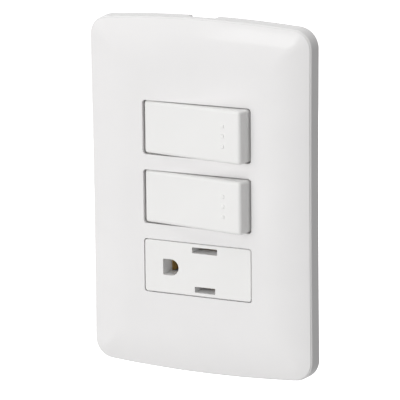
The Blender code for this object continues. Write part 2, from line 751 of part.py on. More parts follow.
def make_rocker(name, home):
    front = -PIVOT_DEPTH
    rocker = add_piece(name, key_mesh(front), home, KEY_WHITE)
    inside = front + ROCKER_FACE
    rib = ROCKER_WALL / 2
    reach = ROCKER_HALF - ROCKER_WALL / 2
    join(rocker, rod(STEM_RADIUS, inside - JOIN, STEM_REACH))
    join(rocker, block((-reach, inside - JOIN, -rib), (reach, inside + 2 * ROCKER_WALL, rib)))
    cut(rocker, rod(STEM_BORE, inside + JOIN, STEM_REACH + OVERRUN))
    wall_inner = KEY_HEIGHT / 2 - ROCKER_WALL
    pin_length = EAR_THICKNESS + 2 * SEAT_GAP
    for side in (-1, 1):
        start, end = sorted((side * (wall_inner + JOIN), side * (wall_inner - pin_length)))
        join(rocker, rod(PIVOT_RADIUS, start, end, "Z", sides=SMALL_ROUND_STEPS))
    dot_x = ROCKER_HALF - DOT_FROM_END
    half = DOT_SIZE / 2
    for level in (-1, 0, 1):
        low, high = level * DOT_PITCH - half, level * DOT_PITCH + half
        join(rocker, block((dot_x - half, front - DOT_RISE, low), (dot_x + half, front + JOIN, high)))
    return rocker


def make_plunger(name, home):
    """A nylon pin with a domed tip, free to slide in the rocker's stem."""
    radius = STEM_BORE - PLUNGER_CLEARANCE
    dome = 4
    head = PLUNGER_REACH - PLUNGER_LENGTH
    profile = [(0.0, head), (radius, head)]
    for i in range(dome):
        turn = pi / 2 * i / dome
        profile.append((radius * cos(turn), PLUNGER_REACH - radius * (1 - sin(turn))))
    profile.append((0.0, PLUNGER_REACH))
    return add_piece(name, turned(profile, SMALL_ROUND_STEPS), home, NYLON)


def make_spring(name, home):
    """A coil from the stem's bottom to the plunger's head."""
    start = -PIVOT_DEPTH + ROCKER_FACE + JOIN + SEAT_GAP + SPRING_WIRE / 2
    end = PLUNGER_REACH - PLUNGER_LENGTH - SEAT_GAP - SPRING_WIRE / 2
    radius = STEM_BORE - PLUNGER_CLEARANCE - SPRING_WIRE / 2
    points_per_turn = 8
    count = SPRING_TURNS * points_per_turn
    curve = bpy.data.curves.new(name, "CURVE")
    curve.dimensions = "3D"
    curve.bevel_depth = SPRING_WIRE / 2
    curve.bevel_resolution = 1
    curve.use_fill_caps = True
    spline = curve.splines.new("POLY")
    spline.points.add(count)
    for i, point in enumerate(spline.points):
        turn = 2 * pi * i / points_per_turn
        y = start + (end - start) * i / count
        point.co = (radius * cos(turn), y, radius * sin(turn), 1)
    spring = bpy.data.objects.new(name, curve)
    spring.parent = home
    curve.materials.append(STEEL)
    PARTS.objects.link(spring)
    return spring


# Switch contacts


def small_bore(radius, middle, x, z=0.0):
    """A cutter for a hole along Y through sheet metal or a thin wall whose middle is given."""
    return rod(radius, middle - 2 * OVERRUN, middle + 2 * OVERRUN, "Y", (x, 0, z), SMALL_ROUND_STEPS)


def make_rocking_contact(name, home):
    """The seesaw strip on its fulcrum, with a contact rivet under its left arm."""
    half = CONTACT_WIDTH / 2
    points = [(-CONTACT_ARM, -STRIP_THICKNESS / 2), (CONTACT_ARM, -STRIP_THICKNESS / 2)]
    contact = add_piece(name, bent_strip(points, -half, half, STRIP_THICKNESS), home, BRASS)
    join(contact, rod(RIVET_RADIUS, -JOIN, RIVET_RISE, "Y", (-RIVET_ARM, 0, 0), SMALL_ROUND_STEPS))
    return contact


def make_common_terminal(name, home):
    """An upright whose top edge is the fulcrum, and a foot that runs out to the terminal screw."""
    points = [
        (0, FULCRUM_Y + SEAT_GAP),
        (0, STRIP_DEPTH),
        (TERMINAL_ARM + CLAMP_SIZE / 2, STRIP_DEPTH),
    ]
    strip = bent_strip(points, -STRIP_WIDTH / 2, STRIP_WIDTH / 2, STRIP_THICKNESS)
    terminal = add_piece(name, strip, home, BRASS)
    cut(terminal, small_bore(HOLE_RADIUS, STRIP_DEPTH, TERMINAL_ARM))
    return terminal


def make_live_terminal(name, home):
    """A shelf under the rocking contact's left arm, stepped down and out to the terminal screw."""
    step_x = CHAMBER_HALF - SEAT_GAP - STRIP_THICKNESS / 2
    points = [
        (-RIVET_ARM + RIVET_RADIUS + SEAT_GAP, SHELF_Y),
        (-step_x, SHELF_Y),
        (-step_x, STRIP_DEPTH),
        (-TERMINAL_ARM - CLAMP_SIZE / 2, STRIP_DEPTH),
    ]
    strip = bent_strip(points, -STRIP_WIDTH / 2, STRIP_WIDTH / 2, STRIP_THICKNESS)
    terminal = add_piece(name, strip, home, BRASS)
    cut(terminal, small_bore(HOLE_RADIUS, STRIP_DEPTH, -TERMINAL_ARM))
    join(terminal, rod(RIVET_RADIUS, CLOSED_Y, SHELF_Y, "Y", (-RIVET_ARM, 0, 0), SMALL_ROUND_STEPS))
    return terminal


def make_clamp(name, home, x, z):
    half = CLAMP_SIZE / 2
    outline = rounded_rectangle(CLAMP_SIZE, CLAMP_SIZE, half / 4, (x, z), 1)
    clamp = add_piece(name, prism(outline, CLAMP_FRONT, CLAMP_FRONT + STRIP_THICKNESS), home, STEEL)
    cut(clamp, small_bore(HOLE_RADIUS, CLAMP_FRONT, x, z))
    return clamp


def add_terminal(prefix, home, x, z):
    size = (TERMINAL_HEAD_RADIUS, TERMINAL_HEAD_HEIGHT, TERMINAL_SHANK_RADIUS)
    add_screw(prefix + "_screw", home, size, HEAD_FRONT, HEAD_FRONT - TERMINAL_SCREW_REACH, 1, x, z)
    make_clamp(prefix + "_clamp", home, x, z)


# Bases


def make_base(name, home, lug_x=0.0):
    """A block behind the shell, with a spigot and two lugs that fit the shell's rear pocket."""
    base = add_piece(
        name,
        rounded_block(SHELL_WIDTH, SHELL_HEIGHT, SHELL_CORNER, SHELL_BACK + SEAT_GAP, BASE_DEPTH),
        home,
        BASE_WHITE,
    )
    spigot = (WINDOW_WIDTH - 2 * SEAT_GAP, WINDOW_HEIGHT - 2 * SEAT_GAP)
    join(base, rounded_block(*spigot, WINDOW_CORNER, POCKET_Y + SEAT_GAP, SHELL_BACK + 2 * SEAT_GAP))
    left, right = lug_x - LUG_WIDTH / 2, lug_x + LUG_WIDTH / 2
    near = POCKET_Y + POCKET_DEPTH / 2 - LUG_LENGTH / 2
    for side in (-1, 1):
        low, high = sorted((side * (spigot[1] / 2 - JOIN), side * (spigot[1] / 2 + LUG_HEIGHT)))
        join(base, block((left, near, low), (right, near + LUG_LENGTH, high)))
    return base


def cut_terminal_well(base, x, z, height, wire_room=0.0):
    """The well round a terminal, with room beside it for a wire, and its driver hole behind."""
    near, far = x - TERMINAL_CHAMBER / 2 - wire_room, x + TERMINAL_CHAMBER / 2
    back = BASE_DEPTH - BASE_WALL
    cut(base, block((near, POCKET_Y - OVERRUN, z - height / 2), (far, back, z + height / 2)))
    cut(base, small_bore(TERMINAL_HEAD_RADIUS + DRIVER_CLEARANCE, BASE_DEPTH, x, z))


def cut_wire_hole(base, x, z):
    cut(base, small_bore(WIRE_HOLE_RADIUS, BASE_DEPTH, x, z))


def make_switch_base(name, home):
    base = make_base(name, home)
    front = POCKET_Y - OVERRUN
    half_height = CHAMBER_HEIGHT / 2
    cut(base, block((-CHAMBER_HALF, front, -half_height), (CHAMBER_HALF, CHAMBER_FLOOR, half_height)))
    slot = STRIP_WIDTH / 2 + SLOT_CLEARANCE
    cut(base, block((-TERMINAL_ARM, front, -slot), (TERMINAL_ARM, CHAMBER_FLOOR, slot)))
    for side in (-1, 1):
        cut_terminal_well(base, side * TERMINAL_ARM, 0, TERMINAL_CHAMBER_HEIGHT)
        for level in (-1, 1):
            cut_wire_hole(base, side * TERMINAL_ARM, level * WIRE_HOLE_OFFSET)
    stop_y = FULCRUM_Y + RIVET_ARM * tan(ROCKER_TILT) + SEAT_GAP
    near, far = RIVET_ARM - STOP_LENGTH / 2, RIVET_ARM + STOP_LENGTH / 2
    for side in (-1, 1):
        low, high = sorted((side * (STRIP_WIDTH / 2 + SLOT_CLEARANCE), side * (half_height + JOIN)))
        join(base, block((near, stop_y, low), (far, CHAMBER_FLOOR + JOIN, high)))
    return base


def make_socket_base(name, home):
    base = make_base(name, home, SOCKET_LUG_X)
    front = POCKET_Y - OVERRUN
    blade_half = BLADE_CLIP_HALF + CLIP_FLARE + CLIP_THICKNESS
    for side in (-1, 1):
        rise = side * SLOT_SPACING / 2
        terminal = side * LIVE_TERMINAL_RISE
        inner = min(abs(rise) - blade_half, abs(terminal) - STRIP_WIDTH / 2) - SLOT_CLEARANCE
        low, high = sorted((side * inner, side * WINDOW_HEIGHT / 2))
        cut(base, block((BLADE_CHAMBER_LEFT, front, low), (TERMINAL_ARM, CHAMBER_FLOOR, high)))
        height = 2 * (TERMINAL_HEAD_RADIUS + DRIVER_CLEARANCE)
        wire_room = WIRE_HOLE_OFFSET + WIRE_HOLE_RADIUS - TERMINAL_CHAMBER / 2
        cut_terminal_well(base, TERMINAL_ARM, terminal, height, wire_room)
    pin_half = PIN_CLIP_HALF + CLIP_FLARE + CLIP_THICKNESS
    wide = STRIP_WIDTH / 2 + SLOT_CLEARANCE
    cut(base, block((-EARTH_TERMINAL_ARM, front, -wide), (EARTH_X + pin_half, CHAMBER_FLOOR, wide)))
    well_start, well_end = CHAMBER_FLOOR - OVERRUN, CHAMBER_FLOOR + PIN_WELL
    cut(base, rod(PIN_RADIUS + SEAT_GAP, well_start, well_end, "Y", (EARTH_X, 0, 0)))
    cut_terminal_well(base, -EARTH_TERMINAL_ARM, 0, TERMINAL_CHAMBER_HEIGHT)
    for level in (-1, 1):
        cut_wire_hole(base, -EARTH_TERMINAL_ARM, level * WIRE_HOLE_OFFSET)
        cut_wire_hole(base, TERMINAL_ARM - WIRE_HOLE_OFFSET, level * LIVE_TERMINAL_RISE)
    return base


# Socket face


def earth_hole_outline():
    """The D of the earth hole: flat on the left, half round on the right."""
    radius = EARTH_HEIGHT / 2
    centre = (EARTH_X + EARTH_WIDTH / 2 - radius, 0)
    left = EARTH_X - EARTH_WIDTH / 2
    return [(left, radius), (left, -radius)] + arc(centre, radius, -pi / 2, pi / 2, SMALL_ROUND_STEPS)


def slot_mesh(length, z):
    half = SLOT_HEIGHT / 2
    near, far = SLOT_CENTRE - length / 2, SLOT_CENTRE + length / 2
    return block((near, FACE_Y - OVERRUN, z - half), (far, GUIDE_BACK + OVERRUN, z + half))


def slot_guides(length, side):
    """The walls that lead a blade in: one block behind the cap, one that reaches the shell's wall."""
    near, far = SLOT_CENTRE - length / 2 - GUIDE_WALL, SLOT_CENTRE + length / 2 + GUIDE_WALL
    inner = SLOT_SPACING / 2 - SLOT_HEIGHT / 2 - GUIDE_WALL
    behind_cap = (FACE_Y + SOCKET_FACE, KEY_HEIGHT / 2 - SHELL_WALL)
    in_shell = (FLANGE_FRONT + 2 * JOIN, WINDOW_HEIGHT / 2)
    guides = []
    for front, outer in (behind_cap, in_shell):
        low, high = sorted((side * inner, side * (outer + JOIN)))
        guides.append(block((near, front - JOIN, low), (far, GUIDE_BACK, high)))
    return guides


def earth_guide():
    """The sleeve that leads the earth pin in."""
    width, height = EARTH_WIDTH + 2 * GUIDE_WALL, EARTH_HEIGHT + 2 * GUIDE_WALL
    front = FACE_Y + SOCKET_FACE - JOIN
    return rounded_block(width, height, WINDOW_CORNER, front, GUIDE_BACK, (EARTH_X, 0))


def make_socket_face(name, home):
    face = make_shell(name, home, KEY_WHITE)
    width, height = WINDOW_WIDTH - 2 * WINDOW_CLEARANCE, KEY_HEIGHT
    rings = edge_rings(lambda y: width, height, WINDOW_CORNER, FACE_Y, SOCKET_ROUND, 2)
    rings.append(cap_ring(width, height, WINDOW_CORNER, FLANGE_FRONT + 2 * JOIN))
    join(face, loft(rings))
    wall = 2 * SHELL_WALL
    behind = FACE_Y + SOCKET_FACE
    cut(face, rounded_block(width - wall, height - wall, WINDOW_CORNER, behind, FLANGE_BACK + OVERRUN))
    cut(face, rounded_block(WINDOW_WIDTH, WINDOW_HEIGHT, WINDOW_CORNER, FLANGE_BACK, POCKET_Y + OVERRUN))
    cut_rear_pocket(face, SOCKET_LUG_X)
    for length, side in ((LONG_SLOT, 1), (SHORT_SLOT, -1)):
        join(face, *slot_guides(length, side))
        cut(face, slot_mesh(length, side * SLOT_SPACING / 2))
    join(face, earth_guide())
    cut(face, prism(earth_hole_outline(), FACE_Y - OVERRUN, GUIDE_BACK + OVERRUN))
    return face


def clip_outline(half, centre):
    """A sprung fork for a blade or pin: a flared mouth, two leaves and the bend behind them."""
    leaf = half + CLIP_THICKNESS / 2
    throat = CLIP_MOUTH_Y + CLIP_FLARE_LENGTH
    side = [(leaf + CLIP_FLARE, CLIP_MOUTH_Y), (leaf, throat), (leaf + CLIP_FLARE / 3, STRIP_DEPTH)]
    return [(centre + u, y) for u, y in side] + [(centre - u, y) for u, y in reversed(side)]


def tail(near, far, z, width):
    """The flat foot of a contact, from its fork out to the terminal screw."""
    half = STRIP_THICKNESS / 2
    low, high = sorted((near, far))
    return block((low, STRIP_DEPTH - half, z - width / 2), (high, STRIP_DEPTH + half, z + width / 2))


def make_blade_contact(name, home, side):
    z = side * SLOT_SPACING / 2
    outline = [(y, w) for w, y in clip_outline(BLADE_CLIP_HALF, z)]
    near, far = SLOT_CENTRE - CLIP_LENGTH / 2, SLOT_CENTRE + CLIP_LENGTH / 2
    contact = add_piece(name, bent_strip(outline, near, far, CLIP_THICKNESS, "X"), home, BRASS)
    rise = side * LIVE_TERMINAL_RISE
    join(contact, tail(near + JOIN, TERMINAL_ARM + CLAMP_SIZE / 2, rise, STRIP_WIDTH))
    cut(contact, small_bore(HOLE_RADIUS, STRIP_DEPTH, TERMINAL_ARM, rise))
    return contact


def make_earth_contact(name, home):
    half = STRIP_WIDTH / 2
    outline = clip_outline(PIN_CLIP_HALF, EARTH_X)
    contact = add_piece(name, bent_strip(outline, -half, half, CLIP_THICKNESS), home, BRASS)
    near = EARTH_X + PIN_CLIP_HALF
    far = -EARTH_TERMINAL_ARM - CLAMP_SIZE / 2
    join(contact, tail(near, far, 0, STRIP_WIDTH - 2 * SEAT_GAP))
    cut(contact, small_bore(HOLE_RADIUS, STRIP_DEPTH, -EARTH_TERMINAL_ARM))
    cut(contact, small_bore(PIN_CLIP_HALF - SEAT_GAP, STRIP_DEPTH, EARTH_X))
    return contact


# Modules


def make_switch(prefix, level):
    home = new_empty(prefix + "_module", None, (0, 0, level * MODULE_PITCH))
    pivot = new_empty(prefix + "_rocker_axis", home, (0, PIVOT_Y, 0), -ROCKER_TILT)
    fulcrum = new_empty(prefix + "_contact_axis", home, (0, FULCRUM_Y, 0), ROCKER_TILT)
    make_carrier(prefix + "_carrier", home)
    make_switch_base(prefix + "_base", home)
    make_rocker(prefix + "_rocker", pivot)
    make_plunger(prefix + "_plunger", pivot)
    make_spring(prefix + "_plunger_spring", pivot)
    make_rocking_contact(prefix + "_rocking_contact", fulcrum)
    make_common_terminal(prefix + "_common_terminal", home)
    make_live_terminal(prefix + "_live_terminal", home)
    add_terminal(prefix + "_common", home, TERMINAL_ARM, 0)
    add_terminal(prefix + "_live", home, -TERMINAL_ARM, 0)


def make_socket(prefix, level):
    home = new_empty(prefix + "_module", None, (0, 0, level * MODULE_PITCH))
    make_socket_face(prefix + "_face", home)
    make_socket_base(prefix + "_base", home)
    make_blade_contact(prefix + "_neutral_contact", home, 1)
    make_blade_contact(prefix + "_line_contact", home, -1)
    make_earth_contact(prefix + "_earth_contact", home)
    add_terminal(prefix + "_neutral", home, TERMINAL_ARM, LIVE_TERMINAL_RISE)
    add_terminal(prefix + "_line", home, TERMINAL_ARM, -LIVE_TERMINAL_RISE)
    add_terminal(prefix + "_earth", home, -EARTH_TERMINAL_ARM, 0)


make_cover_plate()
make_support_frame()
make_fixing_screws()
make_switch("upper_switch", 1)
make_switch("lower_switch", 0)
make_socket("socket", -1)
bpy.context.view_layer.update()
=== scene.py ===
# %% [markdown]
# # A switch and socket combination
# The real thing is a moulded cover plate that snaps over a frame on the wall. Three modules sit
# in that frame and look out through the plate's windows: two rocker switches and one socket.
# The CAD part is loaded first and never moved. It says where everything is, and this notebook
# gives each piece its looks: finer forms, rounded edges, materials, light and a camera.

# %% Load the CAD part
from math import atan, cos, hypot, pi, radians, sin, sqrt

import bmesh
import bpy
from mathutils import Matrix, Vector


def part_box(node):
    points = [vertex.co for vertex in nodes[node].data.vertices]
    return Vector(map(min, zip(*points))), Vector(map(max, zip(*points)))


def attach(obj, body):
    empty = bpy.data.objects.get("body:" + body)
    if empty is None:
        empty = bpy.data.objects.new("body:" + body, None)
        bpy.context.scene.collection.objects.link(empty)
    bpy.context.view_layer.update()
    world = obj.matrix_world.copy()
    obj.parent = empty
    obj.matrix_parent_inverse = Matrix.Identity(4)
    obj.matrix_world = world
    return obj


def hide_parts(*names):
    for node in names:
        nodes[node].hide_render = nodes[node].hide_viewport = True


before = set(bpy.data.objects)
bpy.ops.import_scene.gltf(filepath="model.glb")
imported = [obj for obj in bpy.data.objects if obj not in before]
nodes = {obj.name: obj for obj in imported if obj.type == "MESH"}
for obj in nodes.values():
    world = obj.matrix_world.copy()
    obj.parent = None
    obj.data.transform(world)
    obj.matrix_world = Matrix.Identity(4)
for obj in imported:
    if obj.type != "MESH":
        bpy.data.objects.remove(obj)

scene = bpy.context.scene
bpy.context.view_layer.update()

# %% [markdown]
# ## Measures
# Blender works in metres, and this object is small, so sizes are written in millimetres and
# multiplied by MM. X runs to the right, Y into the wall and Z up. The plate's outer size is read
# from its CAD node. What a box can't say, such as the size of the windows, is written here once.
# A piece that rests on another keeps SEAT_GAP from it. A mesh that is joined to another sinks in
# by JOIN, and a cutter runs out by OVERRUN, so that a Boolean never meets two faces in one plane.

# %% Measures
MM = 0.001
plate_low, plate_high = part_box("cover_plate")
PLATE_WIDTH = plate_high.x - plate_low.x
PLATE_HEIGHT = plate_high.z - plate_low.z
PLATE_LIFT = (plate_high.z + plate_low.z) / 2
FACE_Y = plate_low.y
WALL = 1.8 * MM
INNER_Y = FACE_Y + WALL
PITCH = 22.2 * MM
WINDOW = (37.5 * MM, 17.3 * MM)
WINDOW_CORNER = 1.0 * MM
SEAT_GAP = 0.3 * MM
JOIN = 0.3 * MM
OVERRUN = 1.0 * MM
print(f"plate {PLATE_WIDTH / MM:.1f} x {PLATE_HEIGHT / MM:.1f} mm, face at {FACE_Y / MM:.1f} mm")

# %% [markdown]
# ## Outlines
# Most plastic pieces here start as a flat outline, a closed ring of points. Curves could be drawn
# as Bezier splines, but a mould's corners are true arcs, and a few lines of sine and cosine give
# exactly those, with as many points as the picture needs.

# %% Outlines
def arc(centre, radius, first, last, steps):
    """Points on a circle from one angle to another, both ends included."""
    turns = [first + (last - first) * i / steps for i in range(steps + 1)]
    return [(centre[0] + radius * cos(t), centre[1] + radius * sin(t)) for t in turns]


def rounded(width, height, corner, centre=(0, 0), steps=10):
    """A rounded rectangle as (x, z) points."""
    u, v = width / 2 - corner, height / 2 - corner
    points = []
    for quarter, (side, level) in enumerate(((1, 1), (-1, 1), (-1, -1), (1, -1))):
        middle = (centre[0] + side * u, centre[1] + level * v)
        points += arc(middle, corner, quarter * pi / 2, (quarter + 1) * pi / 2, steps)
    return points


def grown(points, step):
    """The outline moved outwards by step, along the middle of its neighbours' directions."""
    moved = []
    for i, (x, z) in enumerate(points):
        ax, az = points[i - 1]
        bx, bz = points[(i + 1) % len(points)]
        along = Vector((bx - ax, bz - az)).normalized()
        moved.append((x + along.y * step, z - along.x * step))
    return moved


print("a window's outline has", len(rounded(*WINDOW, WINDOW_CORNER)), "points")

# %% [markdown]
# ## Lofts
# An outline becomes a solid by travelling: it is moved, shrunk or rounded step by step, and each
# ring of points is joined to the next by faces. That is a loft. A bevel modifier would be quicker
# to write, but the loft gives full control over every rounded edge. Holes are cut afterwards by a
# cutter that is a loft too. It flares at its mouth, so the hole's edge comes out rounded.

# %% Lofts
def mesh_from(bm):
    """Turns a bmesh into a mesh whose faces all look outwards."""
    bmesh.ops.recalc_face_normals(bm, faces=bm.faces)
    mesh = bpy.data.meshes.new("shape")
    bm.to_mesh(mesh)
    bm.free()
    return mesh


def loft(rings):
    """A closed solid through rings of (x, y, z) points, flat at both ends."""
    bm = bmesh.new()
    loops = [[bm.verts.new(point) for point in ring] for ring in rings]
    for near, far in zip(loops, loops[1:]):
        for i, vertex in enumerate(near):
            j = (i + 1) % len(near)
            bm.faces.new((vertex, near[j], far[j], far[i]))
    bm.faces.new(loops[0])
    bm.faces.new(loops[-1])
    return mesh_from(bm)


def level_ring(points, y):
    """An outline of (x, z) points as a ring at depth y."""
    return [(x, y, z) for x, z in points]


def flared(points, front, back, lip, far_lip=0.0, steps=6):
    """A cutter whose mouth widens by lip at front, and by far_lip at back."""
    rings = [level_ring(grown(points, lip), front - 2 * OVERRUN)]
    for i in range(steps + 1):
        turn = pi / 2 * i / steps
        rings.append(level_ring(grown(points, lip * (1 - sin(turn))), front + lip * (1 - cos(turn))))
    for i in range(steps + 1):
        turn = pi / 2 * (1 - i / steps)
        outline = grown(points, far_lip * (1 - sin(turn)))
        rings.append(level_ring(outline, back - far_lip * (1 - cos(turn))))
    rings.append(level_ring(grown(points, far_lip), back + 2 * OVERRUN))
    return loft(rings)


# %% [markdown]
# ## Joining and cutting
# A Boolean modifier on dense meshes is slow to keep live. So each piece is evaluated once, and
# the result replaces the modifiers. Smooth shading then needs two helpers: edges sharper than an
# angle are marked, and weighted normals keep large flat faces flat beside small round ones.

# %% Joining, cutting and shading
def new_object(name, mesh):
    obj = bpy.data.objects.new(name, mesh)
    scene.collection.objects.link(obj)
    return obj


def bake_modifiers(obj):
    """Puts what the object's modifiers make of its mesh in the mesh's place."""
    graph = bpy.context.evaluated_depsgraph_get()
    mesh = bpy.data.meshes.new_from_object(obj.evaluated_get(graph))
    obj.modifiers.clear()
    obj.data = mesh


def combine(obj, operation, *meshes):
    """Boolean of obj with each mesh in turn; the helpers are removed again."""
    for mesh in meshes:
        helper = new_object("helper", mesh)
        modifier = obj.modifiers.new("boolean", "BOOLEAN")
        modifier.operation = operation
        modifier.solver = "EXACT"
        modifier.object = helper
        bake_modifiers(obj)
        bpy.data.objects.remove(helper, do_unlink=True)


def block(low, high):
    """A box between two opposite corners."""
    low, high = Vector(low), Vector(high)
    bm = bmesh.new()
    stretch = Matrix.Diagonal((*(high - low), 1.0))
    bmesh.ops.create_cube(bm, size=1.0, matrix=Matrix.Translation((low + high) / 2) @ stretch)
    return mesh_from(bm)


def shade(obj, angle=32):
    obj.data.shade_smooth()
    obj.data.set_sharp_from_angle(angle=radians(angle))
    weighted = obj.modifiers.new("even normals", "WEIGHTED_NORMAL")
    weighted.keep_sharp = True


def paint(obj, material):
    """Gives the object this one material and takes away what it had before."""
    obj.data.materials.clear()
    obj.data.materials.append(material)


# %% [markdown]
# ## Noise for surfaces
# No real surface has one even value. An image texture could say so, but it would need pictures
# and an unwrapped mesh. A noise texture needs neither: it fills space, and it is read here in the
# object's own metres, so nothing in it depends on the camera.

# %% Shader and noise helpers
NOISE_MIDDLE = (0.3, 0.7)


def shader_of(name, color, roughness, metallic=0.0):
    material = bpy.data.materials.new(name)
    material.use_nodes = True
    shader = material.node_tree.nodes["Principled BSDF"]
    shader.inputs["Base Color"].default_value = (*color, 1.0)
    shader.inputs["Roughness"].default_value = roughness
    shader.inputs["Metallic"].default_value = metallic
    return material, shader


def noise(tree, scale, detail=3.0, stretch=(1, 1, 1)):
    """A noise texture over the object's own metres."""
    place = tree.nodes.new("ShaderNodeTexCoord")
    mapping = tree.nodes.new("ShaderNodeMapping")
    mapping.inputs["Scale"].default_value = stretch
    texture = tree.nodes.new("ShaderNodeTexNoise")
    texture.inputs["Scale"].default_value = scale
    texture.inputs["Detail"].default_value = detail
    tree.links.new(place.outputs["Object"], mapping.inputs["Vector"])
    tree.links.new(mapping.outputs["Vector"], texture.inputs["Vector"])
    return texture.outputs["Fac"]


def spread(tree, value, low, high):
    """Maps the useful middle of a noise to low..high."""
    node = tree.nodes.new("ShaderNodeMapRange")
    node.inputs["From Min"].default_value, node.inputs["From Max"].default_value = NOISE_MIDDLE
    node.inputs["To Min"].default_value = low
    node.inputs["To Max"].default_value = high
    tree.links.new(value, node.inputs["Value"])
    return node.outputs["Result"]


def color_mix(tree, factor, light):
    """A node that mixes its socket A with a light colour by a factor."""
    mix = tree.nodes.new("ShaderNodeMix")
    mix.data_type = "RGBA"
    mix.inputs["B"].default_value = (*light, 1.0)
    tree.links.new(factor, mix.inputs["Factor"])
    return mix


def vary_color(tree, shader, factor, dark, light):
    mix = color_mix(tree, factor, light)
    mix.inputs["A"].default_value = (*dark, 1.0)
    tree.links.new(mix.outputs["Result"], shader.inputs["Base Color"])


def add_bump(tree, shader, height, strength, distance):
    bump = tree.nodes.new("ShaderNodeBump")
    bump.inputs["Strength"].default_value = strength
    bump.inputs["Distance"].default_value = distance
    tree.links.new(height, bump.inputs["Height"])
    tree.links.new(bump.outputs["Normal"], shader.inputs["Normal"])


# %% [markdown]
# ## Plastic that isn't perfectly even
# Moulded plastic has one colour, yet never one value: the colour drifts a little over the piece,
# the gloss changes where it was touched, and the surface carries a very fine grain. Each of these
# is a noise of its own size. Thin white plastic also lets light through, so the walls inside the
# socket's holes look paler than its face. Subsurface scattering would show that too, but it is
# slow and grainy in such small holes. So that light is painted: the socket's colour grows paler
# with depth inside its holes, a painted glow in place of light through the plastic.

# %% Plastics
DRIFT_SCALE, GLOSS_SCALE, GRAIN_SCALE = 60, 220, 3200
GRAIN_HEIGHT = 0.02 * MM
PLASTIC_IOR = 1.5
WARM_WHITE = (0.86, 0.855, 0.845)
# Painted light: the depths and the colour of the painted glow deep in the socket's holes.
PAINTED_LIGHT_START, PAINTED_LIGHT_END = FACE_Y + 0.3 * MM, FACE_Y + 1.2 * MM
PAINTED_LIGHT_WHITE = (0.97, 0.97, 0.97)


def plastic(name, color, roughness, grain=0.05, drift=0.012, uneven=0.04):
    material, shader = shader_of(name, color, roughness)
    tree = material.node_tree
    dark = tuple(c * (1 - drift) for c in color)
    light = tuple(min(1, c * (1 + drift)) for c in color)
    vary_color(tree, shader, spread(tree, noise(tree, DRIFT_SCALE, 5.0), 0, 1), dark, light)
    gloss = spread(tree, noise(tree, GLOSS_SCALE, 4.0), roughness - uneven, roughness + uneven)
    tree.links.new(gloss, shader.inputs["Roughness"])
    add_bump(tree, shader, noise(tree, GRAIN_SCALE, 2.0), grain, GRAIN_HEIGHT)
    shader.inputs["IOR"].default_value = PLASTIC_IOR
    return material


def paint_light_inside(material):
    """Painted light: the colour turns to a near white between two depths along Y, in place of light
    through the plastic.
    """
    tree = material.node_tree
    base = tree.nodes["Principled BSDF"].inputs["Base Color"]
    color = base.links[0].from_socket
    place = tree.nodes.new("ShaderNodeTexCoord")
    split = tree.nodes.new("ShaderNodeSeparateXYZ")
    depth = tree.nodes.new("ShaderNodeMapRange")
    depth.inputs["From Min"].default_value = PAINTED_LIGHT_START
    depth.inputs["From Max"].default_value = PAINTED_LIGHT_END
    mix = color_mix(tree, depth.outputs["Result"], PAINTED_LIGHT_WHITE)
    tree.links.new(place.outputs["Object"], split.inputs["Vector"])
    tree.links.new(split.outputs["Y"], depth.inputs["Value"])
    tree.links.new(color, mix.inputs["A"])
    tree.links.new(mix.outputs["Result"], base)


PLATE_GLOSS = plastic("plate_gloss_white", (0.855, 0.845, 0.843), 0.1, grain=0.02, uneven=0.02)
KEY_GLOSS = plastic("key_gloss_white", WARM_WHITE, 0.22, grain=0.04)
SOCKET_GLOSS = plastic("socket_gloss_white", WARM_WHITE, 0.22, grain=0.04)
FRAME_PLASTIC = plastic("frame_grey_plastic", (0.50, 0.51, 0.52), 0.48, grain=0.16, drift=0.03)
MODULE_PLASTIC = plastic("module_white_plastic", (0.74, 0.735, 0.715), 0.42, grain=0.12, drift=0.02)
NYLON = plastic("natural_nylon", (0.76, 0.74, 0.66), 0.45, grain=0.1, drift=0.03)
# Painted light: the socket's plastic is painted paler deep in its holes, in place of light through it.
paint_light_inside(SOCKET_GLOSS)
print("plastics:", [material.name for material in bpy.data.materials if "plastic" in material.name])

# %% [markdown]
# ## The cover plate
# The plate is one thin shell. Its ends bow out, its sides are waisted by a hair, and its face
# rolls down to the rim in a long soft shoulder. A subdivided box could be pushed into that form,
# but its corners would be guesswork. Here the outline is a formula of how far it is drawn in, and
# the corner's arc ends where its direction meets the bow's, which a few rounds of a loop find.

# %% The plate's outline
END_BOW, SIDE_WAIST = 1.75 * MM, 0.2 * MM
PLATE_CORNER, TIGHTEST_CORNER = 6.5 * MM, 1.6 * MM


def plate_outline(inset, side_steps=28, corner_steps=20, end_steps=30, rounds=6):
    """The plate's outline, drawn in by inset, as (x, z) points about its middle."""
    half_width, half_height = PLATE_WIDTH / 2 - inset, PLATE_HEIGHT / 2 - inset
    corner = max(PLATE_CORNER - inset, TIGHTEST_CORNER)
    bow = END_BOW / (PLATE_WIDTH / 2) ** 2
    centre_x = half_width - corner
    last = pi / 2
    for _ in range(rounds):
        end_x = centre_x + corner * cos(last)
        last = pi / 2 - atan(2 * bow * end_x)
    centre_z = half_height - bow * end_x**2 - corner * sin(last)
    quarter = []
    for i in range(side_steps):
        share = i / side_steps
        quarter.append((half_width - SIDE_WAIST * (1 - share**2), centre_z * share))
    quarter += arc((centre_x, centre_z), corner, 0, last, corner_steps)
    for i in range(1, end_steps):
        x = end_x * (1 - i / end_steps)
        quarter.append((x, half_height - bow * x**2))
    top = quarter + [(0, half_height)] + [(-x, z) for x, z in reversed(quarter[1:])]
    return top + [(-x, -z) for x, z in top]


print("the plate's outline has", len(plate_outline(0)), "points")

# %% [markdown]
# ## The plate's shell
# A profile of (inset, depth) pairs walks from the flat front over the shoulder, round the edge of
# the rim, back to the wall and up inside. Lofting the outline along that profile makes the shell
# in one go, and its wall stays even without a solidify modifier.

# %% The plate's shell
RIM_DEPTH, SHOULDER = 5.05 * MM, 14.0 * MM
DRAFT, EDGE_ROUND, RIM_FOOT = 0.2 * MM, 0.7 * MM, 0.12 * MM
FALL = -FACE_Y - RIM_DEPTH


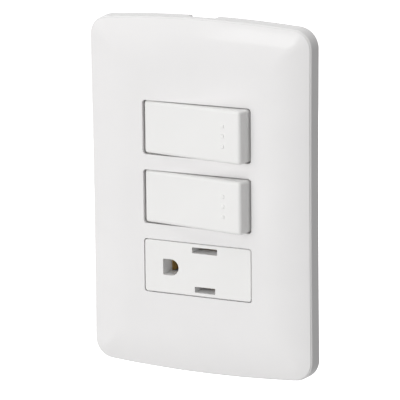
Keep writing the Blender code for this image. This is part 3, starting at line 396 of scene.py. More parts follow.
def shoulder_y(run):
    """Depth of the face at a distance from the rim, a parabola that meets the flat softly."""
    return FACE_Y + FALL * (1 - run / SHOULDER) ** 2


def plate_profile(shoulder_steps=26, edge_steps=8, wall_steps=4, inner_steps=12):
    """The shell's section as (inset, y) pairs, from the front flat to the inner one."""
    runs = [SHOULDER * (1 - i / shoulder_steps) for i in range(shoulder_steps)]
    outer = [(DRAFT + run, shoulder_y(run)) for run in runs]
    slope = atan(2 * FALL / SHOULDER)
    middle = (DRAFT + EDGE_ROUND, shoulder_y(0) + EDGE_ROUND)
    edge = []
    for i in range(edge_steps + 1):
        turn = slope + (pi / 2 - slope) * i / edge_steps
        edge.append((middle[0] - EDGE_ROUND * sin(turn), middle[1] - EDGE_ROUND * cos(turn)))
    last_inset, last_y = edge[-1]
    wall = []
    for i in range(1, wall_steps + 1):
        share = i / wall_steps
        wall.append((last_inset * (1 - share), last_y * (1 - share) - RIM_FOOT * share))
    rim = [(RIM_FOOT, 0), (WALL - RIM_FOOT, 0), (WALL, -RIM_FOOT)]
    inner_runs = [SHOULDER * i / inner_steps for i in range(inner_steps + 1)]
    inner = [(WALL + DRAFT + run, shoulder_y(run) + WALL) for run in inner_runs]
    return outer + edge + wall + rim + inner


rings = [[(x, y, z + PLATE_LIFT) for x, z in plate_outline(inset)] for inset, y in plate_profile()]
plate = new_object("cover_plate_fine", loft(rings))
print("plate shell:", len(plate.data.polygons), "faces")

# %% [markdown]
# ## Windows and pry notch
# Each window gets a cutter that flares by a tenth of a millimetre at the front, which is the
# soft edge that catches the light. A bevel after the cut would have to find those edges first.
# The pry notch is a low opening with sloped sides in the top rim, where a screwdriver lifts the
# plate off. Its cutter is an outline that grows as it rises.

# %% Cut the windows and the notch
WINDOW_LIP, BACK_LIP = 0.1 * MM, 0.15 * MM
NOTCH_WIDTH, NOTCH_DEPTH, NOTCH_CORNER = 9.6 * MM, 2.8 * MM, 0.4 * MM
NOTCH_SLOPE = 0.8

for level in (-1, 0, 1):
    outline = rounded(*WINDOW, WINDOW_CORNER, (0, level * PITCH))
    combine(plate, "DIFFERENCE", flared(outline, FACE_Y, INNER_Y, WINDOW_LIP, BACK_LIP))

notch_rings = []
for rise in (-2 * WALL, OVERRUN):
    width = NOTCH_WIDTH + 2 * NOTCH_SLOPE * rise
    notch = rounded(width, 2 * NOTCH_DEPTH, NOTCH_CORNER, steps=6)
    notch_rings.append([(x, -z, plate_high.z + rise) for x, z in notch])
combine(plate, "DIFFERENCE", loft(notch_rings))
print("plate with windows and notch:", len(plate.data.polygons), "faces")

# %% [markdown]
# ## Hooks
# Four hooks behind the face hold the plate. They reach through slots in the frame's panel, and a
# barb on each catches behind it. A hook is one flat outline, seen from above, that is stretched
# over its width and joined to the shell, as it is one piece with the plate in the mould.

# %% Add the hooks
HOOK_LEVEL, HOOK_HALF, HOOK_THICK = 30.0 * MM, 3.0 * MM, 1.4 * MM
HOOK_BARB, HOOK_EDGE, HOOK_TIP = 0.8 * MM, 0.35 * MM, 1.4 * MM
FRAME_PANEL, FRAME_SKIRT, FRAME_COLLAR = 1.8 * MM, 1.8 * MM, 2.0 * MM
MODULE_HALF = 19.7 * MM

frame_low, frame_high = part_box("support_frame")
slot_middle = (MODULE_HALF + FRAME_COLLAR + frame_high.x - FRAME_SKIRT) / 2
hook_in, hook_out = slot_middle - HOOK_THICK / 2, slot_middle + HOOK_THICK / 2
root, barb = INNER_Y - WALL / 2, frame_low.y + FRAME_PANEL + SEAT_GAP
hook = [
    (hook_in, root),
    (hook_out, root),
    (hook_out, barb),
    (hook_out + HOOK_BARB, barb),
    (hook_out + HOOK_BARB, barb + HOOK_EDGE),
    (hook_out, barb + HOOK_TIP),
    (hook_in, barb + HOOK_TIP),
]
for side in (-1, 1):
    for level in (-1, 1):
        ends = [level * HOOK_LEVEL - HOOK_HALF, level * HOOK_LEVEL + HOOK_HALF]
        combine(plate, "UNION", loft([[(side * x, y, z) for x, y in hook] for z in ends]))

shade(plate)
paint(plate, PLATE_GLOSS)
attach(plate, "fixed_parts")
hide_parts("cover_plate")
print("plate:", len(plate.data.polygons), "faces, box", [round(c / MM, 2) for c in plate.dimensions])

# %% [markdown]
# ## The rocker keys
# A key is a shallow cap that tilts about an upright axis at its middle. It could be built in its
# tilted place, but it is modelled flat, with the axis at the origin, and then turned as one
# object. That keeps its edges simple to round and its place exact. Its ends are arcs about the
# axis, and it sits a touch high in its window, so the gap below is wider than the one above.

# %% The key's sizes and its cap
TILT = radians(8.0)
GAP, UNDER_GAP, END_GAP = 0.2 * MM, 0.34 * MM, 0.9 * MM
KEY = (WINDOW[0] - 2 * END_GAP, WINDOW[1] - GAP - UNDER_GAP)
KEY_LIFT = (UNDER_GAP - GAP) / 2
KEY_PROUD, KEY_ROUND, KEY_CORNER = 4.6 * MM, 1.0 * MM, 1.0 * MM
KEY_WALL, KEY_FACE, KEY_FOOT = 1.2 * MM, 1.6 * MM, 0.15 * MM
PIVOT_DEPTH, SKIRT = 4.4 * MM, 8.6 * MM
PIVOT_Y = FACE_Y - KEY_PROUD + PIVOT_DEPTH * cos(TILT) + KEY[0] / 2 * sin(TILT)
SWEEP = hypot(KEY[0] / 2, PIVOT_DEPTH)


def key_width(y):
    """The ends are arcs about the pivot, so the gap at the window stays as the key tilts."""
    return 2 * sqrt(SWEEP**2 - y**2)


def soft_cap(width_at, height, corner, front, radius, steps=10):
    """Rings over a rounded front edge, from the flat face to the side walls."""
    rings = []
    for i in range(steps + 1):
        turn = pi / 2 * i / steps
        inset = radius * (1 - sin(turn))
        tight = max(corner - inset, corner / 3)
        y = front + radius * (1 - cos(turn))
        rings.append(level_ring(rounded(width_at(y) - 2 * inset, height - 2 * inset, tight), y))
    return rings


def key_mesh(steps=12):
    """The hollow cap: over the face, down the outside, round the foot and up inside."""
    front, back = -PIVOT_DEPTH, SKIRT - PIVOT_DEPTH
    inner = (KEY[0] - 2 * KEY_WALL, KEY[1] - 2 * KEY_WALL)
    rings = soft_cap(key_width, KEY[1], KEY_CORNER, front, KEY_ROUND)
    start, end = front + KEY_ROUND, back - KEY_FOOT
    for i in range(1, steps + 1):
        y = start + (end - start) * i / steps
        rings.append(level_ring(rounded(key_width(y), KEY[1], KEY_CORNER), y))
    foot = rounded(KEY[0] - 2 * KEY_FOOT, KEY[1] - 2 * KEY_FOOT, KEY_CORNER)
    rings.append(level_ring(foot, back))
    rings.append(level_ring(rounded(*inner, KEY_CORNER), back))
    rings.append(level_ring(rounded(*inner, KEY_CORNER), front + KEY_FACE))
    return loft(rings)


print(f"key {KEY[0] / MM:.1f} x {KEY[1] / MM:.2f} mm, pivot at {PIVOT_Y / MM:.2f} mm")

# %% [markdown]
# ## What a key carries
# Three low dots mark the end that stands proud. Under its face the key has a rib along its
# length, two pivot pins and a hollow stem for the sprung plunger. All of it is one moulding, so
# every form is joined to the cap by a Boolean and the key stays one closed mesh.

# %% Dots, stem and pins
DOT_SIZE, DOT_CORNER, DOT_FLARE = 1.25 * MM, 0.3 * MM, 0.05 * MM
DOT_RISE, DOT_ROUND = 0.25 * MM, 0.14 * MM
DOT_PITCH, DOT_FROM_END = 3.2 * MM, 6.4 * MM
STEM_RADIUS, STEM_REACH, STEM_SOFT = 2.6 * MM, 9.0 * MM, 0.15 * MM
BORE_RADIUS, BORE_FLOOR = 1.7 * MM, 0.3 * MM
PIN_RADIUS, PIN_LENGTH = 1.1 * MM, 2.0 * MM


def dot_mesh(z, steps=4, corner_steps=5):
    """A low raised mark with a rounded top edge."""
    middle = (KEY[0] / 2 - DOT_FROM_END, z)
    foot = DOT_SIZE + DOT_FLARE
    rings = [level_ring(rounded(foot, foot, DOT_CORNER, middle, corner_steps), JOIN - PIVOT_DEPTH)]
    for i in range(steps + 1):
        turn = pi / 2 * i / steps
        size = DOT_SIZE - 2 * DOT_ROUND * (1 - cos(turn))
        y = DOT_ROUND * (1 - sin(turn)) - DOT_RISE - PIVOT_DEPTH
        rings.append(level_ring(rounded(size, size, DOT_CORNER, middle, corner_steps), y))
    return loft(rings)


def rod(radius, start, end, axis="Y", steps=40, soft=0.0):
    """A round bar along Y or Z, its far end softened."""
    ends = [(0, start), (0, end - soft), (soft, end)] if soft else [(0, start), (0, end)]
    rings = []
    for inset, far in ends:
        ring = arc((0, 0), radius - inset, 0, 2 * pi * (1 - 1 / steps), steps - 1)
        rings.append([(x, far, z) if axis == "Y" else (x, z, far) for x, z in ring])
    return loft(rings)


def make_key(name, node, body, level):
    key = new_object(name, key_mesh())
    inside = -PIVOT_DEPTH + KEY_FACE
    reach, rib = KEY[0] / 2 - KEY_WALL / 2, KEY_WALL / 2
    combine(key, "UNION", rod(STEM_RADIUS, inside - JOIN, STEM_REACH, soft=STEM_SOFT))
    combine(key, "UNION", block((-reach, inside - JOIN, -rib), (reach, inside + 2 * KEY_WALL, rib)))
    combine(key, "DIFFERENCE", rod(BORE_RADIUS, inside + BORE_FLOOR, STEM_REACH + OVERRUN))
    wall = KEY[1] / 2 - KEY_WALL
    for side in (-1, 1):
        combine(key, "UNION", rod(PIN_RADIUS, side * (wall + JOIN), side * (wall - PIN_LENGTH), "Z"))
    for dot in (-1, 0, 1):
        combine(key, "UNION", dot_mesh(dot * DOT_PITCH))
    shade(key)
    paint(key, KEY_GLOSS)
    place = Matrix.Translation((0, PIVOT_Y, level + KEY_LIFT))
    key.matrix_world = place @ Matrix.Rotation(-TILT, 4, "Z")
    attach(key, body)
    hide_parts(node)
    print(name, len(key.data.polygons), "faces")


make_key("upper_key_fine", "upper_switch_rocker", "upper_key", PITCH)
make_key("lower_key_fine", "lower_switch_rocker", "lower_key", 0.0)

# %% [markdown]
# ## The socket's holes
# Three holes lead into the socket: a long slot, a short slot and a D-shaped earth hole. Their
# places are those of every plug that fits, so they are real sizes and not read from the picture.
# Each outline is needed twice, for the hole and for the plastic tunnel behind it.

# %% Outlines of the holes
SLOT_X, SLOT_RISE = 2.5 * MM, 6.35 * MM
SLOT_HEIGHT, SLOT_CORNER = 1.9 * MM, 0.15 * MM
LONG_SLOT, SHORT_SLOT = 8.7 * MM, 7.1 * MM
SLOTS = ((LONG_SLOT, 1), (SHORT_SLOT, -1))
EARTH_X, EARTH, EARTH_CORNER = -9.4 * MM, (5.4 * MM, 5.2 * MM), 0.3 * MM


def slot_outline(length, side, steps=3):
    """A slot above (side 1) or below (side -1) the socket's middle."""
    return rounded(length, SLOT_HEIGHT, SLOT_CORNER, (SLOT_X, side * SLOT_RISE), steps)


def earth_outline(steps=32, corner_steps=4):
    """Flat on the left, half round on the right."""
    radius = EARTH[1] / 2
    centre = (EARTH_X + EARTH[0] / 2 - radius, 0)
    left = EARTH_X - EARTH[0] / 2 + EARTH_CORNER
    corners = arc((left, radius - EARTH_CORNER), EARTH_CORNER, pi / 2, pi, corner_steps)
    corners += arc((left, EARTH_CORNER - radius), EARTH_CORNER, pi, 3 * pi / 2, corner_steps)
    return arc(centre, radius, -pi / 2, pi / 2, steps) + corners


print("earth hole:", len(earth_outline()), "points")

# %% [markdown]
# ## The body of the socket's face
# The socket is a cap like the keys, but flat with the plate and fixed. Behind the cap are a
# flange that lies against the frame and a shell with two barbs that hold it there. It could be
# one loft with many steps. Plain slabs that are joined one by one are easier to read, and each
# can be changed alone.

# %% The body of the socket's face
SHELL_WALL, SHELL_CORNER, FLANGE_LIP = 1.0 * MM, 1.5 * MM, 1.0 * MM
SHELL = (WINDOW[0] + 2 * SHELL_WALL, WINDOW[1] + 2 * SHELL_WALL)
FLANGE_FRONT, FLANGE_BACK = INNER_Y + SEAT_GAP, frame_low.y - SEAT_GAP
SHELL_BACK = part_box("socket_face")[1].y
BARB_REACH, BARB_EDGE, BARB_LENGTH, BARB_HALF = 1.0 * MM, 0.5 * MM, 2.0 * MM, 2.5 * MM
CAP = (WINDOW[0] - 2 * GAP, WINDOW[1] - 2 * GAP)
CAP_ROUND, CAP_FACE = 0.4 * MM, 2.0 * MM
CAP_FOOT, BEHIND_CAP = FLANGE_FRONT + 2 * JOIN, FACE_Y + CAP_FACE


def slab(width, height, corner, start, end, centre=(0, 0)):
    points = rounded(width, height, corner, centre)
    return loft([level_ring(points, start), level_ring(points, end)])


def add_body(face):
    """The flange, the two barbs and the rounded cap."""
    flange = (SHELL[0] + 2 * FLANGE_LIP, SHELL[1] + 2 * FLANGE_LIP)
    combine(face, "UNION", slab(*flange, SHELL_CORNER, FLANGE_FRONT, FLANGE_BACK))
    edge = SHELL[0] / 2
    barb = [
        (edge - JOIN, SEAT_GAP),
        (edge + BARB_REACH, SEAT_GAP),
        (edge + BARB_REACH, SEAT_GAP + BARB_EDGE),
        (edge, SEAT_GAP + BARB_LENGTH),
        (edge - JOIN, SEAT_GAP + BARB_LENGTH),
    ]
    for side in (-1, 1):
        ends = [[(side * x, y, z) for x, y in barb] for z in (-BARB_HALF, BARB_HALF)]
        combine(face, "UNION", loft(ends))
    rings = soft_cap(lambda y: CAP[0], CAP[1], WINDOW_CORNER, FACE_Y, CAP_ROUND, 8)
    rings.append(level_ring(rounded(*CAP, WINDOW_CORNER), CAP_FOOT))
    combine(face, "UNION", loft(rings))


print(f"socket cap {CAP[0] / MM:.1f} x {CAP[1] / MM:.1f} mm")

# %% [markdown]
# ## Hollows and tunnels
# From behind, the socket's face is an open box that takes the base, whose lugs snap into a window
# in each long wall. Behind each hole is a tunnel, so a look into a slot meets white walls first
# and brass only deep inside. The hollows are cut before the tunnels are added, or they would cut
# the tunnels away. The holes come last, as they run through the cap and the tunnels alike.

# %% Hollows and tunnels
LUG_X, LUG_HALF, LUG_SLOT = -5.0 * MM, 3.0 * MM, 1.4 * MM
POCKET_DEPTH = 2.3 * MM
GUIDE_WALL, GUIDE_BACK = 0.9 * MM, FACE_Y + 6.3 * MM
SLOT_LIP = 0.07 * MM


def hollow_out(face):
    """The room behind the cap, the shell's bore and the windows for the base's lugs."""
    cap_room = (CAP[0] - 2 * SHELL_WALL, CAP[1] - 2 * SHELL_WALL)
    combine(
        face,
        "DIFFERENCE",
        slab(*cap_room, WINDOW_CORNER, BEHIND_CAP, FLANGE_BACK + OVERRUN),
        slab(*WINDOW, WINDOW_CORNER, FLANGE_BACK, SHELL_BACK + OVERRUN),
    )
    near = SHELL_BACK - POCKET_DEPTH / 2 - LUG_SLOT / 2
    for side in (-1, 1):
        low, high = sorted((side * (WINDOW[1] / 2 - OVERRUN), side * (SHELL[1] / 2 + OVERRUN)))
        lug_window = block((LUG_X - LUG_HALF, near, low), (LUG_X + LUG_HALF, near + LUG_SLOT, high))
        combine(face, "DIFFERENCE", lug_window)


def add_tunnels(face):
    """The walls that lead a plug's blades and its earth pin in."""
    inner = SLOT_RISE - SLOT_HEIGHT / 2 - GUIDE_WALL
    for length, side in SLOTS:
        near, far = SLOT_X - length / 2 - GUIDE_WALL, SLOT_X + length / 2 + GUIDE_WALL
        for start, outer in ((BEHIND_CAP, CAP[1] / 2 - SHELL_WALL), (CAP_FOOT, WINDOW[1] / 2)):
            low, high = sorted((side * inner, side * (outer + JOIN)))
            combine(face, "UNION", block((near, start - JOIN, low), (far, GUIDE_BACK, high)))
    sleeve = (EARTH[0] + 2 * GUIDE_WALL, EARTH[1] + 2 * GUIDE_WALL)
    tunnel = slab(*sleeve, WINDOW_CORNER, BEHIND_CAP - JOIN, GUIDE_BACK, (EARTH_X, 0))
    combine(face, "UNION", tunnel)


def cut_holes(face):
    for length, side in SLOTS:
        combine(face, "DIFFERENCE", flared(slot_outline(length, side), FACE_Y, GUIDE_BACK, SLOT_LIP))
    combine(face, "DIFFERENCE", flared(earth_outline(), FACE_Y, GUIDE_BACK, SLOT_LIP))


# %% [markdown]
# ## Making the socket's face
# The steps change one object in turn, and each says how many faces it left, so a Boolean that
# went wrong shows at once. The face is modelled about its own middle and then moved down by one
# pitch. Its noise textures and its painted light inside the holes go along, since they are tied to the
# object.

# %% Make the socket's face
shell_mesh = slab(*SHELL, SHELL_CORNER, FLANGE_FRONT + JOIN, SHELL_BACK)
socket_face = new_object("socket_face_fine", shell_mesh)
for step in (add_body, hollow_out, add_tunnels, cut_holes):
    step(socket_face)
    print(step.__name__, len(socket_face.data.polygons), "faces")

shade(socket_face)
paint(socket_face, SOCKET_GLOSS)
socket_face.matrix_world = Matrix.Translation((0, 0, -PITCH))
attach(socket_face, "fixed_parts")
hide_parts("socket_face")

# %% [markdown]
# ## Metal
# The contacts are brass and the screws zinc-plated steel. A glossy shader alone would look like
# chrome. Both are Principled shaders whose colour tarnishes in spots, and rolling and plating
# leave faint streaks, so the noise behind their roughness is stretched along one axis. The brass
# isn't fully metallic, because deep in its slot a pure mirror would show nothing but the dark.

# %% Metals
TARNISH_SCALE, STREAK_SCALE = 260, 900
STREAK_SMOOTHER, STREAK_ROUGHER, STREAK_BUMP = 0.08, 0.1, 0.12


def metal(name, color, roughness, tarnish, streak, metallic=1.0):
    material, shader = shader_of(name, color, roughness, metallic)
    tree = material.node_tree
    dark = tuple(c * (1 - tarnish) for c in color)
    vary_color(tree, shader, spread(tree, noise(tree, TARNISH_SCALE, 6.0), 0, 1), dark, color)
    lines = noise(tree, STREAK_SCALE, 3.0, streak)
    gloss = spread(tree, lines, roughness - STREAK_SMOOTHER, roughness + STREAK_ROUGHER)
    tree.links.new(gloss, shader.inputs["Roughness"])
    add_bump(tree, shader, lines, STREAK_BUMP, GRAIN_HEIGHT)
    return material


BRASS = metal("contact_brass", (0.98, 0.70, 0.26), 0.34, tarnish=0.18, streak=(1, 1, 6), metallic=0.6)
STEEL = metal("zinc_plated_steel", (0.62, 0.62, 0.61), 0.3, tarnish=0.15, streak=(6, 1, 1))
print("metals:", BRASS.name, STEEL.name)

# %% [markdown]
# ## Screw threads
# A screw modifier could wind a profile into a thread, but its ends stay open. A thread is easiest
# when the mesh itself follows the helix. Each row of points climbs by one pitch per turn, so the
# row that starts at step j ends where row j + ROWS starts, and the crest is one unbroken line.
# Points beyond either end are held at that end, which gives the run-out.

# %% Threads
ROWS, AROUND = 8, 36
CREST = (0.0, 0.0, 0.35, 0.8, 1.0, 1.0, 0.65, 0.2)
TIP_INSET, TIP_SLOPE = 0.3 * MM, 0.8
CLOSE_POINTS = 0.001 * MM


def thread_mesh(radius, depth, pitch, start, tip):
    """A threaded rod along +Y from start to a bevelled tip."""
    bm = bmesh.new()
    count = int((tip - start) / pitch * ROWS) + 2 * ROWS
    grid = []
    for i in range(AROUND):
        turn, column = 2 * pi * i / AROUND, []
        for j in range(count + 1):
            y = start + pitch * ((j - ROWS) / ROWS + i / AROUND)
            y = min(max(y, start), tip)
            r = radius - depth * (1 - CREST[j % ROWS])
            r = min(r, radius - depth - TIP_INSET + (tip - y) * TIP_SLOPE)
            column.append(bm.verts.new((r * cos(turn), y, r * sin(turn))))
        grid.append(column)
    for i, near in enumerate(grid):
        far = grid[(i + 1) % AROUND]
        shift = ROWS if i + 1 == AROUND else 0
        for j in range(min(count + 1 - ROWS, count - shift)):
            bm.faces.new((near[j], near[j + 1], far[j + shift + 1], far[j + shift]))
    bmesh.ops.dissolve_degenerate(bm, dist=CLOSE_POINTS, edges=bm.edges)
    bmesh.ops.holes_fill(bm, edges=bm.edges)
    return mesh_from(bm)


# %% [markdown]
# ## Screw heads
# A head is turned on a lathe, so its mesh is a profile of (radius, depth) points swept round the
# axis: a faint dome, a rounded rim and a flat underside. The cross recess is pressed in. It is
# cut by a plus-shaped loft whose arms get shorter towards the floor.

# %% Heads and recesses
DOME_RISE, DOME_SHARE, RIM_SHARE = 0.11, 0.82, 0.3
DOME_STEPS, RIM_STEPS = 7, 8
CROSS_REACH, CROSS_ARM, CROSS_DEPTH, CROSS_FLOOR = 0.62, 0.12, 0.7, 0.45
UNDER_EDGE, NECK_SHARE, NECK_POINT = 0.1 * MM, 0.8, 0.05 * MM


def lathe(profile, steps=40):
    """A closed solid from (radius, y) points turned about the Y axis; it starts and ends on it."""
    bm = bmesh.new()
    ends = [bm.verts.new((0, profile[i][1], 0)) for i in (0, -1)]
    loops = []
    for radius, y in profile[1:-1]:
        turns = [2 * pi * i / steps for i in range(steps)]
        loops.append([bm.verts.new((radius * cos(t), y, radius * sin(t))) for t in turns])
    for i in range(steps):
        j = (i + 1) % steps
        bm.faces.new((ends[0], loops[0][i], loops[0][j]))
        for near, far in zip(loops, loops[1:]):
            bm.faces.new((near[i], far[i], far[j], near[j]))
        bm.faces.new((loops[-1][i], ends[1], loops[-1][j]))
    return mesh_from(bm)


def head_profile(radius, height, shank):
    """From the middle of the head's top to the middle of its underside, at y 0."""
    dome, rim = DOME_RISE * height, RIM_SHARE * height
    profile = [(0, -height)]
    for i in range(1, DOME_STEPS):
        share = i / DOME_STEPS
        profile.append((radius * DOME_SHARE * share, dome * share**2 - height))
    for i in range(RIM_STEPS + 1):
        turn = pi / 2 * i / RIM_STEPS
        profile.append((radius - rim * (1 - sin(turn)), dome - height + rim * (1 - cos(turn))))
    under = [(radius, -UNDER_EDGE), (radius - UNDER_EDGE, 0), (shank * NECK_SHARE, 0), (0, NECK_POINT)]
    return profile + under


def cross_cutter(radius, height):
    """A cross-shaped recess for a head of this size; its arms get shorter towards its floor."""
    arm, floor = CROSS_ARM * radius, (CROSS_DEPTH - 1) * height
    rings = []
    for share, y in ((1.0, -height - OVERRUN), (1.0, -height), (CROSS_FLOOR, floor)):
        reach = CROSS_REACH * radius * share
        corner = [(arm, arm), (arm, reach), (-arm, reach)]
        outline = []
        for _ in range(4):
            outline += corner
            corner = [(-z, x) for x, z in corner]
        rings.append(level_ring(outline, y))
    return loft(rings)


# %% [markdown]
# ## Making the screws
# Two fixing screws hold the frame, with their heads towards the room. Seven terminal screws have
# theirs towards the wall, where the wires come in. One function makes both kinds, and the place,
# the head's radius and the length are read from each screw's CAD node.

# %% Make the screws
FIXING_SCREW = (2.0 * MM, 1.7 * MM, 0.79 * MM)
TERMINAL_SCREW = (1.8 * MM, 1.45 * MM, 0.6 * MM)
THREAD_DEPTH, THREAD_START = 0.42, -0.15 * MM


def make_screw(node, head_height, shank, pitch, facing):
    """The head faces +Y or -Y (facing); the place and reach come from the CAD node's box."""
    low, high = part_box(node)
    radius = (high.x - low.x) / 2
    tip = (high.y - low.y) - head_height
    screw = new_object(node + "_fine", lathe(head_profile(radius, head_height, shank)))
    combine(screw, "DIFFERENCE", cross_cutter(radius, head_height))
    thread = thread_mesh(shank, pitch * THREAD_DEPTH, pitch, THREAD_START, tip)
    combine(screw, "UNION", thread)
    seat, turn = (low + high) / 2, Matrix.Identity(4)
    if facing > 0:
        seat.y = high.y - head_height
        turn = Matrix.Rotation(pi, 4, "Z")
    else:
        seat.y = low.y + head_height
    screw.data.transform(Matrix.Translation(seat) @ turn)
    paint(screw, STEEL)
    shade(screw, 38)
    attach(screw, "fixed_parts")
    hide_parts(node)
    return len(screw.data.polygons)


faces = 0
for name in list(nodes):
    if name.startswith("fixing_screw"):
        faces += make_screw(name, *FIXING_SCREW, -1)
    elif name.endswith("_screw"):
        faces += make_screw(name, *TERMINAL_SCREW, 1)
print("screws:", faces, "faces")

# %% [markdown]
# ## Springs
# Each key carries a small coil spring behind its plunger. A curve with a round bevel would draw
# it too, but here the tube is a mesh from the start, like all the other pieces. Its two end turns
# lie flat, as on every pressed spring. The coil follows the key's tilt, so it is modelled along Y
# and then turned about its middle.

# %% Springs
SPRING_WIRE, SPRING_TURNS, FLAT_TURNS = 0.36 * MM, 4.2, 0.75


def coil_mesh(radius, reach, sides=10, steps=28):
    """A tube along a helix about the Y axis, from -reach to reach, flat at each end."""
    bm = bmesh.new()
    loops, total = [], int((SPRING_TURNS + 2 * FLAT_TURNS) * steps)
    for i in range(total + 1):
        turn = 2 * pi * i / steps
        share = min(max((i / steps - FLAT_TURNS) / SPRING_TURNS, 0), 1)
        out = Vector((cos(turn), 0, sin(turn)))
        centre = out * radius + Vector((0, 2 * reach * share - reach, 0))
        loop = []
        for k in range(sides):
            angle = 2 * pi * k / sides
            offset = out * cos(angle) + Vector((0, sin(angle), 0))
            loop.append(bm.verts.new(centre + SPRING_WIRE / 2 * offset))
        loops.append(loop)
    for near, far in zip(loops, loops[1:]):
        for k in range(sides):
            m = (k + 1) % sides
            bm.faces.new((near[k], far[k], far[m], near[m]))
    bm.faces.new(loops[0])
    bm.faces.new(loops[-1])
    return mesh_from(bm)


for name in list(nodes):
    if name.endswith("_plunger_spring"):
        low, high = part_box(name)
        radius = (high.z - low.z - SPRING_WIRE) / 2
        reach = (high.y - low.y - 2 * radius * sin(TILT) - SPRING_WIRE) / 2
        coil = coil_mesh(radius, reach)
        coil.transform(Matrix.Translation((low + high) / 2) @ Matrix.Rotation(-TILT, 4, "Z"))
        spring = new_object(name + "_fine", coil)
        paint(spring, STEEL)
        shade(spring, 60)
        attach(spring, name.split("_")[0] + "_key")
        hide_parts(name)
        print(spring.name, len(spring.data.polygons), "faces")

# %% [markdown]
# ## Pieces kept from the CAD
# Everything else behind the plate keeps its CAD mesh, which may not be edited. Modifiers leave
# it as it is and still make it look moulded or pressed: the flat triangles are merged again, and
# every hard edge gets a small bevel that catches light. Each row of FINISH is a part of a node's
# name, its material and that bevel in millimetres.

# %% Dress the CAD nodes
FINISH = (
    ("_carrier", MODULE_PLASTIC, 0.12),
    ("_base", MODULE_PLASTIC, 0.15),
    ("support_frame", FRAME_PLASTIC, 0.2),
    ("_plunger", NYLON, 0.05),
    ("_contact", BRASS, 0.06),
    ("_terminal", BRASS, 0.06),
    ("_clamp", STEEL, 0.08),
)
WELD_DISTANCE = 0.002 * MM
FLAT_ANGLE, SMOOTH_ANGLE, BEVEL_ANGLE = radians(0.5), radians(35), radians(40)


def smooth_by_angle(limit):
    """A modifier's node group: faces become smooth, edges sharper than the limit stay sharp."""
    tree = bpy.data.node_groups.new("smooth by angle", "GeometryNodeTree")
    tree.interface.new_socket("Geometry", in_out="INPUT", socket_type="NodeSocketGeometry")
    tree.interface.new_socket("Geometry", in_out="OUTPUT", socket_type="NodeSocketGeometry")
    start, end = tree.nodes.new("NodeGroupInput"), tree.nodes.new("NodeGroupOutput")
    faces = tree.nodes.new("GeometryNodeSetShadeSmooth")
    edges = tree.nodes.new("GeometryNodeSetShadeSmooth")
    edges.domain = "EDGE"
    angle = tree.nodes.new("GeometryNodeInputMeshEdgeAngle")
    test = tree.nodes.new("FunctionNodeCompare")
    test.operation = "LESS_THAN"
    test.inputs["B"].default_value = limit
    tree.links.new(start.outputs[0], faces.inputs["Geometry"])
    tree.links.new(faces.outputs["Geometry"], edges.inputs["Geometry"])
    tree.links.new(angle.outputs["Unsigned Angle"], test.inputs["A"])
    tree.links.new(test.outputs["Result"], edges.inputs["Shade Smooth"])
    tree.links.new(edges.outputs["Geometry"], end.inputs[0])
    return tree


SMOOTH = smooth_by_angle(SMOOTH_ANGLE)


def dress(node, material, bevel):
    paint(node, material)
    weld = node.modifiers.new("weld", "WELD")
    weld.merge_threshold = WELD_DISTANCE
    flat = node.modifiers.new("flat faces", "DECIMATE")
    flat.decimate_type = "DISSOLVE"
    flat.angle_limit = FLAT_ANGLE
    soft = node.modifiers.new("soft edges", "BEVEL")
    soft.width = bevel * MM
    soft.segments = 2
    soft.limit_method = "ANGLE"
    soft.angle_limit = BEVEL_ANGLE
    smooth = node.modifiers.new("smooth by angle", "NODES")
    smooth.node_group = SMOOTH
    even = node.modifiers.new("even normals", "WEIGHTED_NORMAL")
    even.keep_sharp = True


dressed = 0
for name, node in nodes.items():
    if not node.hide_render:
        material, bevel = next(row[1:] for row in FINISH if row[0] in name)
        dress(node, material, bevel)
        dressed += 1
print(dressed, "CAD nodes dressed")

# %% [markdown]
# ## Floor
# The photograph is a product shot on pure white, with no shadow on the ground. The floor is a wide
# pale plane well below the part. It glows, so the background clears to white, and it takes no part
# in the lighting, neither as a reflector nor by its shade.

# %% Floor
FLOOR_REACH, FLOOR_Z = 8.0, -0.30

corners = [(-1, -1), (1, -1), (1, 1), (-1, 1)]
floor_mesh = bpy.data.meshes.new("floor")
floor_mesh.from_pydata([(x * FLOOR_REACH, y * FLOOR_REACH, 0) for x, y in corners], [], [(0, 1, 2, 3)])
floor = new_object("floor", floor_mesh)
floor.location.z = FLOOR_Z
floor_paint, floor_shader = shader_of("floor_white", (0.85, 0.85, 0.85), 0.8)
floor_shader.inputs["Emission Color"].default_value = (1.0, 1.0, 1.0, 1.0)
floor_shader.inputs["Emission Strength"].default_value = 1.0
paint(floor, floor_paint)
floor.visible_diffuse = floor.visible_glossy = floor.visible_shadow = False
print("floor at", FLOOR_Z, "m")

# %% [markdown]
# ## Sky
# One white sky would light the part from all sides and wash its forms out. So a shader asks what
# kind of ray has reached the sky. It is white for the camera, pale for reflections, as the cloth
# of a light tent is, and dim for everything else, which leaves the modelling to the lamps.

# %% Sky
CAMERA_SKY, MIRRORED_SKY, LIGHTING_SKY = 1.0, 0.8, 0.24

world = bpy.data.worlds.new("studio")
scene.world = world
world.use_nodes = True
tree = world.node_tree
tree.nodes.clear()
out = tree.nodes.new("ShaderNodeOutputWorld")
path = tree.nodes.new("ShaderNodeLightPath")


def sky(strength):
    node = tree.nodes.new("ShaderNodeBackground")
    node.inputs["Color"].default_value = (1.0, 1.0, 1.0, 1.0)
    node.inputs["Strength"].default_value = strength
    return node.outputs["Background"]


def choose(test, otherwise, then):
    """Picks one of two skies by what kind of ray asks."""
    node = tree.nodes.new("ShaderNodeMixShader")
    tree.links.new(path.outputs[test], node.inputs["Fac"])
    tree.links.new(otherwise, node.inputs[1])
    tree.links.new(then, node.inputs[2])
    return node.outputs["Shader"]


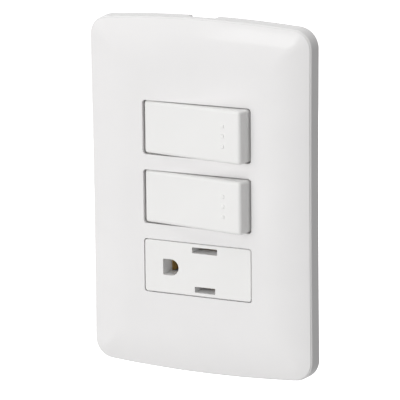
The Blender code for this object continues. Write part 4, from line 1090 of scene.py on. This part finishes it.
unseen_sky = choose("Is Glossy Ray", sky(LIGHTING_SKY), sky(MIRRORED_SKY))
tree.links.new(choose("Is Camera Ray", unseen_sky, sky(CAMERA_SKY)), out.inputs["Surface"])
print("sky:", len(tree.nodes), "nodes")

# %% [markdown]
# ## Softboxes
# Four large softboxes shape the part: the key light front left, one overhead, one low in front
# that opens the undersides, and one behind for the views of the back. They light diffusely and
# are hidden from reflections, which would otherwise draw their outlines on the gloss. Only the
# fifth, small one is mirrored: it gives the lens-shaped highlight in the plate's upper shoulder.

# %% Lights
def softbox(name, azimuth, elevation, distance, width, height, power, aim=(0, 0, 0), mirrored=False):
    """An area light; azimuth is degrees left of the front, elevation is above the horizon."""
    a, e = radians(azimuth), radians(elevation)
    toward = Vector((-sin(a) * cos(e), -cos(a) * cos(e), sin(e)))
    light = bpy.data.lights.new(name, "AREA")
    light.shape = "RECTANGLE"
    light.size, light.size_y = width, height
    light.energy = power
    lamp = bpy.data.objects.new(name, light)
    lamp.location = Vector(aim) + toward * distance
    lamp.rotation_mode = "QUATERNION"
    lamp.rotation_quaternion = toward.to_track_quat("Z", "Y")
    lamp.visible_glossy = mirrored
    scene.collection.objects.link(lamp)
    print("softbox", name, power, "W")


softbox("key", 24, 10, 1.5, 1.3, 1.2, 10.5)
softbox("overhead", 0, 85, 1.3, 1.2, 1.2, 8.8)
softbox("front low", 6, -25, 1.5, 1.4, 1.2, 8.2)
softbox("back", 165, 15, 1.5, 1.3, 1.2, 9.0)
softbox("sparkle", 17.0, 17.0, 1.2, 0.40, 0.23, 0.49, aim=(0.02, 0, 0.05), mirrored=True)

# %% [markdown]
# ## Camera
# The picture was taken with a long lens, a little from the right and from above. Aiming by eye
# would leave the edges a few pixels out. These values come from fitting the plate's and windows'
# corners in the photograph: the three angles, the distance, and how far the part lies off the
# middle of the picture.

# %% Camera
YAW, PITCH_DOWN, ROLL = 0.46080, 0.22715, -0.01088
DISTANCE, LENS, SENSOR = 981.25 * MM, 281.30, 36
OFF_SIDE, OFF_RISE = 2.36 * MM, 1.59 * MM

back = Vector((sin(YAW) * cos(PITCH_DOWN), -cos(YAW) * cos(PITCH_DOWN), sin(PITCH_DOWN)))
right = Vector((cos(YAW), sin(YAW), 0))
up = right.cross(-back)
side = right * cos(ROLL) + up * sin(ROLL)
rise = up * cos(ROLL) - right * sin(ROLL)
camera_data = bpy.data.cameras.new("camera")
camera_data.sensor_width = SENSOR
camera_data.lens = LENS
camera_data.clip_start, camera_data.clip_end = 0.05, 50
camera = bpy.data.objects.new("camera", camera_data)
scene.collection.objects.link(camera)
place = Vector((0, 0, PLATE_LIFT)) + back * DISTANCE - side * OFF_SIDE - rise * OFF_RISE
camera.matrix_world = Matrix.Translation(place) @ Matrix((side, rise, back)).transposed().to_4x4()
scene.camera = camera
scene.view_settings.view_transform = "Standard"
print("camera at", [round(c, 3) for c in place])
